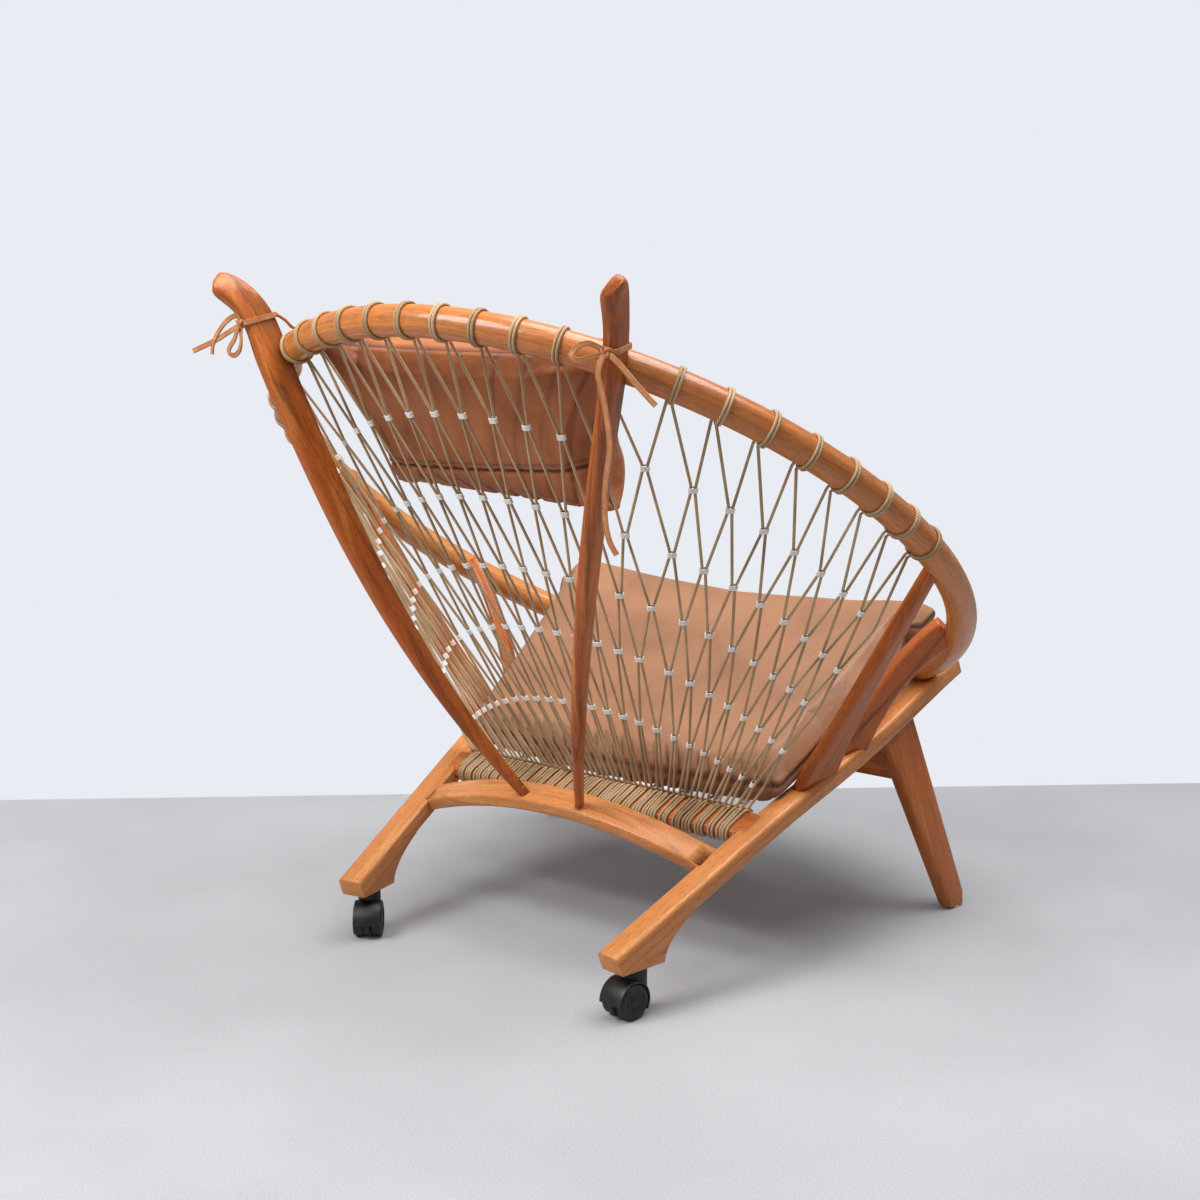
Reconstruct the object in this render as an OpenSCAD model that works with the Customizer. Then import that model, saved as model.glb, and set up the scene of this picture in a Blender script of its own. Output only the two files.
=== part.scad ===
// Hoop chair: a tilted bent-wood hoop on a low rolling frame, with a cord net for the back,
// a cord seat, a loose seat cushion and a neck cushion tied to two tall uprights.
// Front is -Y, the sitter's left is +X, up is +Z, and the floor is z = 0.

/* [Hoop] */
// Outer diameter of the hoop
hoop_d = 1120; // [1040:5:1200]
// Thickness of the round hoop bar
hoop_bar = 43; // [38:1:48]
// Tilt of the hoop from level, rising to the back, in degrees
hoop_tilt = 35.3; // [33:0.1:38]
// Height of the hoop's centre above the floor
hoop_h = 624; // [600:1:650]

/* [Side rails] */
// Width of a side rail, seen from above
rail_w = 40; // [34:1:46]
// Depth of a side rail, square to its top face
rail_t = 26; // [22:1:32]
// Angle at which the rails spread towards the front, in degrees
rail_splay = 9.8; // [8:0.1:11]
// Distance from the chair's centre to the middle of a rail's rear end
rail_back_x = 244; // [225:1:260]
// How far behind the hoop's centre the rails end
rail_back_y = 335; // [315:1:350]
// Height of the top of a rail's rear end
rail_back_z = 95; // [88:1:105]
// Length of rail past the place where the hoop crosses it
rail_tip = 60; // [45:1:80]
// Hollow of the rail's long front curve
rail_bow = 9; // [0:0.5:14]
// Distance along the rail at which that curve begins
bow_start = 300; // [250:5:350]
// Depth of the saddle that the hoop sits in
hoop_seat = 2.5; // [1:0.5:4]

/* [Foot blocks] */
// Length of the block glued under each rail's rear end
block_l = 90; // [84:1:100]
// Height of the block's underside above the floor
block_z = 68; // [66:0.5:70]
// Length of the block's hollow heel curve, along the rail
heel_run = 66; // [50:1:75]

/* [Front legs] */
// Place of the leg's top along the rail
leg_s = 590; // [560:5:610]
// Depth of a front leg at its top, front to back
leg_top_w = 74; // [60:1:80]
// Depth of a front leg at its foot
leg_foot_w = 42; // [34:1:50]
// Thickness of a front leg
leg_t = 24; // [20:1:28]
// Distance from the chair's centre to the foot of a leg
leg_foot_x = 405; // [390:1:420]
// Distance in front of the hoop's centre to the foot of a leg
leg_foot_y = 363; // [345:1:385]
// Diameter of the glide under a front leg
glide_d = 19; // [15:1:22]
// Thickness of the glide
glide_h = 3; // [2:0.5:5]

/* [Front apron] */
// Distance from the legs' tops down to the apron's lower edge
apron_z = 98.5; // [88:0.5:108]
// Depth of the apron board
apron_w = 56; // [45:1:60]
// Thickness of the apron board
apron_t = 22; // [18:1:26]

/* [Rear stretcher] */
// Place of the stretcher's middle along the rails
stretch_s = 212; // [195:1:225]
// Width of the stretcher plank
stretch_w = 45; // [38:1:50]
// Thickness of the stretcher plank
stretch_t = 22; // [18:1:25]
// Rise of the stretcher's arch
stretch_rise = 50; // [35:1:60]

/* [Uprights] */
// Distance from the chair's centre to an upright's foot
upright_foot_x = 53; // [45:1:65]
// Place on the hoop where an upright crosses it, in degrees from the side
upright_t = 57.3; // [54:0.1:57.6]
// Distance from the hoop's middle line to the upright's middle line
upright_off = 34; // [32:0.5:36]
// Height of an upright's tip above the hoop crossing
horn_h = 110; // [90:1:125]
// Broad width of an upright at the hoop
upright_w = 50; // [44:1:54]
// Thickness of an upright at the hoop
upright_thick = 21; // [18:1:25]

/* [Struts and braces] */
// Place of a strut's foot along the rail
strut_s = 412; // [395:1:430]
// Width of a strut's foot along the rail
strut_foot_w = 74; // [60:1:80]
// Width of a strut at the hoop
strut_top_w = 18; // [16:1:30]
// Thickness of a strut
strut_thick = 21; // [18:1:24]
// Place on the hoop that a strut carries, in degrees from the side, downwards
strut_t = 1; // [0:0.5:6]
// How far a strut curves to the rear at its middle
strut_bow = 6; // [0:0.5:14]
// Place of a brace's foot along the rail
brace_s = 493; // [485:1:505]
// Place on the hoop that a brace carries, in degrees from the side, downwards
brace_t = 28; // [26:0.5:31]
// Height of a brace at its middle
brace_w = 38; // [34:1:46]
// How far a brace curves upwards at its middle
brace_rise = 26; // [10:1:36]
// Thickness of a brace
brace_thick = 23; // [19:1:26]

/* [Seat back rail] */
// Place of this rail's middle along the side rails
seat_rail_s = 293; // [285:1:300]
// Width of the seat back rail
seat_rail_w = 54; // [46:1:60]
// Thickness of the seat back rail
seat_rail_t = 22; // [18:1:24]

/* [Cord] */
// Diameter of the net cord
cord_d = 4; // [3.4:0.1:4.4]
// Free space between the cord's turns round the hoop
turn_gap = 0.8; // [0.6:0.1:1.2]
// Width of a net clip
clip_w = 13; // [11:0.5:15]
// Height of a net clip
clip_h = 9; // [7:0.5:11]

/* [Seat cushion] */
// Half the width of the cushion at its rear edge
cushion_rear = 300; // [280:1:310]
// Half the width of the cushion at its front edge
cushion_front = 372; // [350:1:380]
// Length of the cushion from back to front
cushion_l = 408; // [380:1:415]
// Thickness of the cushion at its rear edge
cushion_t = 92; // [80:1:100]

/* [Neck cushion] */
// Width of the neck cushion
neck_w = 560; // [500:5:580]
// Height of the neck cushion
neck_h = 250; // [220:5:260]
// Thickness of the neck cushion
neck_t = 110; // [90:2:120]
// Width of the leather straps that hold it
strap_w = 8; // [6:0.5:12]
// Thickness of the straps
strap_t = 2.5; // [2:0.1:3]

/* [Casters] */
// Diameter of a caster wheel
wheel_d = 50; // [46:1:52]
// Width of one wheel of a twin
wheel_w = 17; // [14:1:19]
// Diameter of the wheel axle
axle_d = 8; // [6:0.5:10]
// Distance from the swivel axis back to the wheel axle
trail = 19; // [15:1:22]
// Distance of the caster's stem from the rail's rear end
caster_s = 52; // [45:1:60]
// Diameter of the caster stem
stem_d = 11; // [9:0.5:12]
// Depth of the stem in its socket
stem_l = 30; // [25:1:34]
// Direction in which the right caster trails, in degrees from the rear
yaw_right = 8; // [-30:1:60]
// Direction in which the left caster trails, in degrees from the rear
yaw_left = 38; // [-30:1:60]

/* [Hidden] */

// Colours
wood = "#c0692c";
cord_tan = "#b59b78";
clip_white = "#dcdad4";
leather_seat = "#b57a52";
leather_neck = "#8a4a2a";
steel = "#9a9a9a";
black = "#1d1d20";

// Glue line and running clearance between curved faces, and between a dowel and its hole
glue = 0.3;
dowel_fit = 0.05;
soft_gap = 0.6;

// Vectors
function unit(v) = v / norm(v);
function mix(a, b, t) = a + (b - a) * t;
function clamp(v, lo, hi) = max(lo, min(hi, v));
function flat3(v) = [v[0], v[1], v[2]];

// A smooth curve through the points of p, with n steps in each span
function span_pt(p, i, t) = let (
    a = p[max(i - 1, 0)], b = p[i], c = p[i + 1], d = p[min(i + 2, len(p) - 1)])
    0.5 * (2 * b + (c - a) * t + (2 * a - 5 * b + 4 * c - d) * t * t
        + (3 * b - a - 3 * c + d) * t * t * t);
function spline(p, n) = [
    for (i = [0 : len(p) - 2]) for (j = [0 : n - 1]) span_pt(p, i, j / n),
    p[len(p) - 1]];

// Direction of a path at point i
function along(p, i) = unit(flat3(p[min(i + 1, len(p) - 1)]) - flat3(p[max(i - 1, 0)]));

// A rounded rectangle of 12 points about c: w along a, h along b, with corners of
// radius r on the side that b points to and low_r on the other
function ring(c, a, b, w, h, r, low_r) = [
    for (k = [0 : 3]) for (j = [0 : 2]) let (
        sx = (k == 0 || k == 3) ? 1 : -1, sy = k < 2 ? 1 : -1, q = 90 * k + 45 * j,
        e = k < 2 ? r : low_r)
    c + a * (sx * (w / 2 - e) + e * cos(q)) + b * (sy * (h / 2 - e) + e * sin(q))];

// A closed solid over a row of rings, each counter-clockwise seen from the row's far end
module loft(rings) {
    n = len(rings[0]);
    m = len(rings);
    polyhedron(
        points = [for (r = rings) each r],
        faces = concat(
            [for (i = [0 : m - 2]) for (j = [0 : n - 1]) let (a = i * n, b = (i + 1) * n, k = (j + 1) % n)
                each [[a + j, b + j, b + k], [a + j, b + k, a + k]]],
            [for (j = [1 : n - 2]) [0, j, j + 1]],
            [for (j = [1 : n - 2]) [(m - 1) * n, (m - 1) * n + j + 1, (m - 1) * n + j]]));
}

// A wooden member along points [x, y, z, width, thickness]; its width lies along hint
module member(p, hint, r) {
    loft([for (i = [0 : len(p) - 1]) let (
        t = along(p, i), a = unit(hint - t * (hint * t)), b = cross(t, a),
        e = min(r, 0.44 * min(p[i][3], p[i][4])))
        ring(flat3(p[i]), a, b, p[i][3], p[i][4], e, e)]);
}

// A round cord along points p with the given number of sides; hint isn't along the path
function cord_rings(p, d, sides, hint) = [
    for (i = [0 : len(p) - 1]) let (
        t = along(p, i), a = unit(hint - t * (hint * t)), b = cross(t, a))
    [for (j = [0 : sides - 1]) let (q = 360 * (j + 0.5) / sides)
        p[i] + (a * cos(q) + b * sin(q)) * d / 2]];
module cord(p, sides, hint) { loft(cord_rings(p, cord_d, sides, hint)); }

// A rod of diameter d and length l that starts at p and points along v
module rod(p, v, d, l) {
    translate(p)
        rotate([0, acos(unit(v)[2]), atan2(v[1], v[0])])
            cylinder(d = d, h = l, $fn = 32);
}
module mirrored() { mirror([1, 0, 0]) children(); }
module both() { children(); mirrored() children(); }

// The hoop: angle t runs from the sitter's left (0) over the top (90)
hoop_r = (hoop_d - hoop_bar) / 2;
function hoop_at(t) = [
    hoop_r * cos(t), hoop_r * sin(t) * cos(hoop_tilt), hoop_h + hoop_r * sin(t) * sin(hoop_tilt)];
function hoop_dir(t) = [-sin(t), cos(t) * cos(hoop_tilt), cos(t) * sin(hoop_tilt)];

// The left side rail in plan: it starts at rail_start and runs along rail_u, rear to front
rail_start = [rail_back_x, rail_back_y, 0];
rail_u = [sin(rail_splay), -cos(rail_splay), 0];
rail_n = [cos(rail_splay), sin(rail_splay), 0];

// Distance along the rail at which the hoop crosses over it
plan_b = hoop_r * cos(hoop_tilt);
cross_a = pow(rail_u[0] / hoop_r, 2) + pow(rail_u[1] / plan_b, 2);
cross_b = 2 * (rail_back_x * rail_u[0] / pow(hoop_r, 2) + rail_back_y * rail_u[1] / pow(plan_b, 2));
cross_c = pow(rail_back_x / hoop_r, 2) + pow(rail_back_y / plan_b, 2) - 1;
hoop_s = (-cross_b + sqrt(pow(cross_b, 2) - 4 * cross_a * cross_c)) / (2 * cross_a);
rail_len = hoop_s + rail_tip;

// Slope that brings the rail's top up to its saddle under the hoop
function dip(s) = rail_bow
    * pow(sin(180 * clamp((s - bow_start) / (rail_len - bow_start), 0, 1)), 2);
hoop_cross_y = rail_back_y + hoop_s * rail_u[1];
saddle_up = hoop_h + hoop_cross_y * tan(hoop_tilt) - rail_back_z + dip(hoop_s);
rail_slope = atan2(saddle_up, hoop_s)
    - asin((hoop_bar / 2 - hoop_seat) / norm([saddle_up, hoop_s]));

// A point of the left rail: s along it, out from its middle, up from its top face
function rail_z(s) = rail_back_z + s * tan(rail_slope) - dip(s);
function slope_at(s) = atan((rail_z(s + 1) - rail_z(s - 1)) / 2);
function rail_up(s) = -rail_u * sin(slope_at(s)) + [0, 0, cos(slope_at(s))];
function rail_at(s, out, up) = rail_start + rail_u * s + [0, 0, rail_z(s)]
    + rail_n * out + rail_up(s) * up;

edge_r = 5;
under_r = 1.5;
rail_steps = concat([0, 60, 150, 230], [for (k = [0 : 9]) mix(bow_start, rail_len, k / 9)]);
module rail_blank() {
    loft([for (s = rail_steps)
        ring(rail_at(s, 0, -rail_t / 2), rail_n, rail_up(s), rail_w, rail_t, edge_r, under_r)]);
}
module hoop_ring(d) {
    translate([0, 0, hoop_h])
        rotate([hoop_tilt, 0, 0])
            rotate_extrude($fn = 160)
                translate([hoop_r, 0]) circle(d = d, $fn = 40);
}

// Fasteners: each is a list of [start, direction, length] rods on the left side
screw_d = 5;
screw_head_d = 10;
screw_head_h = 4;
dowel_d = 10;
pin_d = 6;
module rods(list, d) {
    for (f = list) rod(f[0], f[1], d, f[2]);
}
module screws(list) {
    rods(list, screw_d);
    for (f = list) rod(f[0], f[1], screw_head_d, screw_head_h);
}
module holes(list, d) {
    for (f = list) rod(f[0] - unit(f[1]) * 0.5, f[1], d + 2 * dowel_fit, f[2] + 1);
}
module screw_holes(list) {
    holes(list, screw_d);
    for (f = list) rod(f[0] - unit(f[1]), f[1], screw_head_d + 2 * dowel_fit, screw_head_h + 1);
}

// Screws up through the rails into the hoop, the struts and the braces
hoop_screw = [[rail_at(hoop_s, 0, -rail_t), rail_up(hoop_s), rail_t + hoop_bar * 0.55]];
foot_screw_l = rail_t + 20;
strut_screw = [
    [rail_at(strut_s, 0, -rail_t), rail_up(strut_s), foot_screw_l],
    [rail_at(brace_s, 0, -rail_t), rail_up(brace_s), foot_screw_l]];

// Struts and braces: [x, y, z, width, thickness] from the rail up to the hoop's middle line
foot_sink = 8;
strut_top = hoop_at(-strut_t);
strut_foot = rail_at(strut_s, 0, -foot_sink);
strut_path = [
    for (k = [[0, strut_foot_w], [0.08, strut_foot_w * 0.9], [0.2, strut_foot_w * 0.72],
            [0.4, mix(strut_top_w, strut_foot_w, 0.38)], [0.65, mix(strut_top_w, strut_foot_w, 0.22)],
            [1, strut_top_w]])
    concat(mix(strut_foot, strut_top, k[0]) - rail_u * strut_bow * sin(180 * k[0]),
        [k[1], strut_thick])];
// A brace ends on the inner side of the hoop's bar
brace_grip = 4;
brace_hold = hoop_at(-brace_t);
brace_top = brace_hold + ([0, 0, hoop_h] - brace_hold) / hoop_r * (hoop_bar / 2 - brace_grip);
brace_foot = rail_at(brace_s, 0, -foot_sink);
brace_lift = [-0.15, 0, 1] * brace_rise;
function brace_pt(f) = mix(brace_foot, brace_top, f) + brace_lift * sin(180 * f);
brace_path = [
    for (k = [[0, brace_w * 1.15], [0.15, brace_w * 1.02], [0.35, brace_w * 0.96], [0.55, brace_w],
            [0.75, brace_w * 1.08], [0.9, brace_w * 1.2], [1, brace_w * 1.25]])
    concat(brace_pt(k[0]), [k[1], brace_thick])];
module strut_blank() { member(strut_path, rail_u, 6); }
module brace_blank() { member(brace_path, -rail_u * 0.7 + [0, 0, 1], 6); }

// Dowels that run from the hoop's middle line back into each strut and brace
hoop_dowel_l = hoop_bar / 2 + 22;
strut_dowel = [
    [strut_top, unit(strut_foot - strut_top), hoop_dowel_l],
    [brace_hold, unit(brace_pt(0.86) - brace_hold), hoop_dowel_l]];

// The stretcher's arch, in the plane square to the rails' slope
slope_fwd = [0, -cos(rail_slope), sin(rail_slope)];
slope_up = [0, sin(rail_slope), cos(rail_slope)];
function mid_rail(s) = let (p = rail_at(s, 0, 0)) [0, p[1], p[2]];
function inner_x(s) = rail_at(s, -rail_w / 2, 0)[0];
stretch_x = inner_x(stretch_s);
function stretch_at(x, up) = mid_rail(stretch_s) + [x, 0, 0]
    + slope_up * (stretch_rise * (1 - pow(x / stretch_x, 2)) + up);
end_sink = 14;
stretch_n = 8;
stretch_sink = 9;
stretch_path = [for (k = [-stretch_n : stretch_n]) let (x = k / stretch_n * (stretch_x + stretch_sink))
    concat(stretch_at(x, -stretch_t / 2), [stretch_w, stretch_t])];
module stretcher_blank() { member(stretch_path, slope_fwd, 4); }
stretch_end_dir = unit(stretch_at(stretch_x + 1, 0) - stretch_at(stretch_x - 1, 0));
stretcher_dowel = [for (k = [-1, 1])
    [stretch_at(stretch_x, -stretch_t / 2) + slope_fwd * (k * stretch_w / 4)
        - stretch_end_dir * 20, stretch_end_dir, 38]];

// The uprights: from the stretcher's top, past the back of the hoop, to a flared tip
rise_dir = [0.274, 0.204, 0.94];
behind = unit(cross(hoop_dir(upright_t), rise_dir));
upright_cross = hoop_at(upright_t) + behind * upright_off;
upright_foot = stretch_at(upright_foot_x, 0) - slope_fwd * 8;
upright_bow = [13, 39, 0];
function upright_w_at(f) = lookup(f, [
    [0, 16], [0.15, 26], [0.31, 34], [0.62, upright_w - 6], [1, upright_w]]);
function upright_t_at(f) = lookup(f, [
    [0, 12], [0.15, 14], [0.31, 17], [0.62, upright_thick - 1], [1, upright_thick]]);
// The horn above the crossing: [x, y, z, share of the width, share of the thickness]
horn_shape = [[0, 0, 0, 1, 1], [0.06, 0.04, 0.25, 0.97, 1], [0.11, 0.085, 0.45, 0.94, 1],
    [0.17, 0.17, 0.63, 0.92, 1], [0.25, 0.29, 0.79, 0.9, 1], [0.34, 0.43, 0.9, 0.86, 1],
    [0.395, 0.52, 0.95, 0.76, 0.92], [0.42, 0.56, 0.968, 0.54, 0.66]];
horn_path = [for (i = [1 : len(horn_shape) - 1]) let (p = horn_shape[i])
    concat(upright_cross + flat3(p) * horn_h, [upright_w * p[3], upright_thick * p[4]])];
function upright_pt(f) = mix(upright_foot, upright_cross, f) + upright_bow * sin(180 * pow(f, 0.85));
upright_path = concat(
    [concat(upright_foot - slope_up * 8 - [3, 5, 0], [upright_w_at(0), upright_t_at(0)])],
    [for (k = [0 : 10]) concat(upright_pt(k / 10), [upright_w_at(k / 10), upright_t_at(k / 10)])],
    horn_path);
upright_turn = 16;
upright_round = 7;
upright_hint = [sin(upright_turn), cos(upright_turn), 0];
module upright_blank(grow) {
    member([for (p = upright_path) concat(flat3(p), [p[3] + 2 * grow, p[4] + 2 * grow])],
        upright_hint, upright_round + grow);
}
upright_screw = [[hoop_at(upright_t) - behind * (hoop_bar / 2), behind, hoop_bar / 2 + upright_off + 6]];
upright_dowel = [[upright_foot - slope_up * 13, slope_up, 26]];

// The seat back rail, flush with the side rails' top faces, and its cord winding
seat_rail_x = inner_x(seat_rail_s);
seat_rail_r = 9;
function seat_rail_at(x, fwd, up) = mid_rail(seat_rail_s) + [x, 0, 0]
    + slope_fwd * fwd + slope_up * (up - seat_rail_t / 2);
module seat_rail_blank(grow) {
    loft([for (x = [-1, 1]) ring(seat_rail_at(x * (seat_rail_x + end_sink), 0, 0), slope_fwd, -slope_up,
        seat_rail_w + 2 * grow, seat_rail_t + 2 * grow, seat_rail_r, seat_rail_r)]);
}
seat_rail_dowel = [for (k = [-1, 1])
    [seat_rail_at(seat_rail_x - 20, k * seat_rail_w / 4, 0), [1, 0, 0], 38]];

// The front legs, raked forward and out, and the apron between them
leg_head = rail_at(leg_s, 0, 8 - rail_t);
leg_foot = [leg_foot_x, -leg_foot_y, glide_h];
leg_axis = unit(leg_head - leg_foot);
foot_round = 14;
leg_path = [
    concat(leg_foot - leg_axis * 8, [leg_foot_w * 0.72, leg_t * 0.72]),
    concat(leg_foot + leg_axis * foot_round, [leg_foot_w, leg_t]),
    concat(leg_head, [leg_top_w, leg_t])];
module leg_blank() { member(leg_path, rail_u, 5); }
function leg_axis_at(z) = leg_foot + leg_axis * ((z - leg_foot[2]) / leg_axis[2]);
apron_mid = leg_axis_at(leg_head[2] - apron_z + apron_w / 2);
apron_dir = unit([0, leg_axis[1], leg_axis[2]]);
module apron_blank() {
    member([for (x = [-1, 1]) [x * apron_mid[0], apron_mid[1], apron_mid[2], apron_w, apron_t]],
        apron_dir, 3);
}
leg_dowel = [for (k = [-1, 1])
    [leg_head + rail_u * (k * leg_top_w / 4) - leg_axis * 38, leg_axis, 48]];
apron_dowel = [for (k = [-1, 1])
    [apron_mid + apron_dir * (k * apron_w / 4) - [leg_t / 2 + 22, 0, 0], [1, 0, 0], leg_t / 2 + 26]];

// Bent-wood hoop
module hoop() {
    color(wood)
        difference() {
            hoop_ring(hoop_bar);
            both() {
                holes(hoop_screw, screw_d);
                holes(strut_dowel, dowel_d);
                screw_holes(upright_screw);
            }
        }
}

// Side rails
module side_rail() {
    color(wood)
        difference() {
            rail_blank();
            hoop_ring(hoop_bar + 2 * glue);
            screw_holes(hoop_screw);
            screw_holes(strut_screw);
            holes(stretcher_dowel, dowel_d);
            holes(seat_rail_dowel, dowel_d);
            holes(leg_dowel, dowel_d);
            socket_bore();
        }
}

// Foot block: a wedge under the rail's rear end, with a hollow heel curve
function under(s) = let (p = rail_at(s, 0, -rail_t)) [(p - rail_start) * rail_u, p[2]];
heel_start = [block_l, block_z];
heel_end = under(block_l + heel_run - rail_t * sin(rail_slope));
heel_ctrl = heel_end - [heel_run - 2, (heel_run - 2) * tan(rail_slope) + 6];
block_rear = under(0) + (under(0)[1] - block_z) * [tan(rail_slope), -1];
module foot_block() {
    color(wood)
        difference() {
            translate(rail_start + rail_n * rail_w / 2)
                rotate([90, 0, rail_splay - 90])
                    linear_extrude(rail_w)
                        polygon(concat([under(0), block_rear],
                            [for (k = [0 : 7]) let (t = k / 7)
                                mix(mix(heel_start, heel_ctrl, t), mix(heel_ctrl, heel_end, t), t)]));
            socket_bore();
        }
}

module front_leg() {
    color(wood)
        difference() {
            leg_blank();
            rail_blank();
            translate(leg_foot - [100, 100, 50]) cube([200, 200, 50]);
            holes(leg_dowel, dowel_d);
            holes(apron_dowel, dowel_d);
        }
}
module front_apron() {
    color(wood)
        difference() {
            apron_blank();
            both() {
                leg_blank();
                holes(apron_dowel, dowel_d);
            }
        }
}
module glide() {
    color(clip_white)
        translate([leg_foot[0], leg_foot[1], 0]) cylinder(d = glide_d, h = glide_h, $fn = 40);
}

module rear_stretcher() {
    color(wood)
        difference() {
            stretcher_blank();
            both() {
                rail_blank();
                holes(stretcher_dowel, dowel_d);
                holes(upright_dowel, pin_d);
            }
        }
}
module back_upright() {
    color(wood)
        difference() {
            upright_blank(0);
            stretcher_blank();
            hoop_ring(hoop_bar + 2 * glue);
            holes(upright_dowel, pin_d);
            holes(upright_screw, screw_d);
        }
}
module hoop_strut() {
    color(wood)
        difference() {
            strut_blank();
            rail_blank();
            hoop_ring(hoop_bar + 2 * glue);
            holes(strut_screw, screw_d);
            holes(strut_dowel, dowel_d);
        }
}
module seat_brace() {
    color(wood)
        difference() {
            brace_blank();
            rail_blank();
            hoop_ring(hoop_bar + 2 * glue);
            holes(strut_screw, screw_d);
            holes(strut_dowel, dowel_d);
        }
}
module seat_back_rail() {
    color(wood)
        difference() {
            seat_rail_blank(0);
            both() {
                rail_blank();
                holes(seat_rail_dowel, dowel_d);
            }
        }
}

// Cord winding on the seat back rail: one unbroken tube of evenly spaced turns
wind_turns = 20;
wind_end = 14;
wind_lift = cord_d / 2 + glue;
wind_corner = seat_rail_r * 0.55;
wind_a = seat_rail_w / 2 + wind_lift;
wind_b = seat_rail_t / 2 + wind_lift;
wind_loop = [
    [wind_a, wind_b - wind_corner], [wind_a - wind_corner, wind_b],
    [wind_corner - wind_a, wind_b], [-wind_a, wind_b - wind_corner],
    [-wind_a, wind_corner - wind_b], [wind_corner - wind_a, -wind_b],
    [wind_a - wind_corner, -wind_b], [wind_a, wind_corner - wind_b]];
wind_span = seat_rail_x - wind_end;
wind_path = [for (k = [0 : 8 * wind_turns]) let (q = wind_loop[k % 8])
    seat_rail_at(wind_span * (1 - k / (4 * wind_turns)), q[0], q[1])];
wind_gap = 2 * wind_span / wind_turns - cord_d;
module rail_winding() {
    color(cord_tan) cord(wind_path, 4, [0.05, 0.3, 0.9]);
}

// Lanes of the back net: one double cord from each lashing on the hoop
inner_lanes = 11;
inner_reach = 30.5;
outer_lanes = 8;
outer_from = 40.6;
outer_step = 6.85;
outer_close = 0.055;
function outer_t(k) = outer_from + outer_step * k - outer_close * k * k;
lane_t = concat(
    [for (k = [outer_lanes - 1 : -1 : 0]) 90 - outer_t(k)],
    [for (k = [0 : inner_lanes - 1]) 90 - inner_reach + 2 * inner_reach * k / (inner_lanes - 1)],
    [for (k = [0 : outer_lanes - 1]) 90 + outer_t(k)]);
lanes = len(lane_t);
net_span = seat_rail_x - 12;
function lane_foot(i) = seat_rail_at(net_span * (1 - 2 * i / (lanes - 1)),
    seat_rail_w / 2 - 7, seat_rail_t / 2 + 1.5 * cord_d + glue);
function lane_to(i) = unit(lane_foot(i) - hoop_at(lane_t[i]));
function lane_down(i) = let (h = hoop_dir(lane_t[i])) unit(lane_to(i) - h * (lane_to(i) * h));

// Lashings: two turns of cord round the hoop, as one unbroken tube
lash_steps = 7;
lash_turns = 2;
lash_pitch = cord_d + turn_gap;
lash_r = (hoop_bar / 2 + cord_d / 2 + glue) / cos(180 / lash_steps);
function lash_path(i) = let (
    h = hoop_dir(lane_t[i]), down = lane_down(i), side = cross(h, down))
    [for (k = [0 : lash_turns * lash_steps]) let (q = 360 * (k / lash_steps))
        hoop_at(lane_t[i]) + (down * cos(q) + side * sin(q)) * lash_r
            + h * lash_pitch * (k / lash_steps - lash_turns / 2)];
module hoop_lashings() {
    color(cord_tan)
        for (i = [0 : lanes - 1]) cord(lash_path(i), 4, hoop_dir(lane_t[i]));
}

// Rows of clips, as a share of each lane's length: at the middle lane and the rise to the ends
row_mid = [0.145, 0.32, 0.475, 0.62, 0.80];
row_rise = [0.09, 0.10, 0.10, 0.13, 0.11];
row_count = len(row_mid);
function row_f(i, r) = row_mid[r] + row_rise[r] * pow((i - (lanes - 1) / 2) / ((lanes - 1) / 2), 2);
// A cord's end stands off its lashing by cord_rest, and more where it leaves at a slant
cord_rest = 0.5;
function lane_head(i) = hoop_at(lane_t[i]) + lane_to(i) * (lash_r + cord_d + cord_rest);
function cord_head(i) = hoop_at(lane_t[i]) + lane_down(i)
    * (lash_r + cord_d / 2 * (1 + abs(lane_to(i) * hoop_dir(lane_t[i]))) + cord_rest);
function lane_at(i, f) = mix(lane_head(i), lane_foot(i), f);
cord_apart = cord_d + 0.5;
edge_reach = 0.33;
// Where a cord of lane i on the given side lies at row r: beside its twin, or beside its neighbour
function halfway(i, side, r) = let (
    n = i + side, inside = n >= 0 && n < lanes,
    here = lane_at(i, row_f(i, r)), other = inside ? lane_at(n, row_f(n, r)) : here
        + (here - lane_at(i - side, row_f(i - side, r))),
    way = unit(other - here), reach = norm(other - here) / 2)
    here + way * (inside ? reach - cord_apart / 2 : 2 * reach * edge_reach);
function beside(i, side, f) = lane_at(i, f) - hoop_dir(lane_t[i]) * (-side * cord_apart / 2);
function net_cord(i, side) = concat(
    [cord_head(i) + hoop_dir(lane_t[i]) * (side * cord_apart / 2)],
    [for (r = [0 : row_count - 1]) r % 2 == 0 ? halfway(i, side, r) : beside(i, side, row_f(i, r))],
    [lane_foot(i) - [side * net_span / (lanes - 1) / 2, 0, 0]]);
module net_panel(first, last) {
    color(cord_tan)
        for (i = [first : last]) for (side = [-1, 1])
            cord(net_cord(i, side), 4, [0.2, 0.9, 0.1]);
}

// Clips at each crossing point, turned along the lane
clip_t = cord_d + 1.6;
module clip_on(p, v, w, h) {
    translate(p)
        rotate([0, acos(v[2]), atan2(v[1], v[0])])
            cube([clip_t, w, h], center = true);
}
module back_net_clips() {
    color(clip_white) {
        for (r = [0 : 2 : row_count - 1]) for (i = [0 : lanes - 2])
            clip_on((halfway(i, 1, r) + halfway(i + 1, -1, r)) / 2,
                unit(lane_to(i) + lane_to(i + 1)), clip_w, clip_h);
        for (r = [1 : 2 : row_count - 1]) for (i = [0 : lanes - 1])
            clip_on(lane_at(i, row_f(i, r)), lane_to(i), clip_w, clip_h);
    }
}

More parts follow.
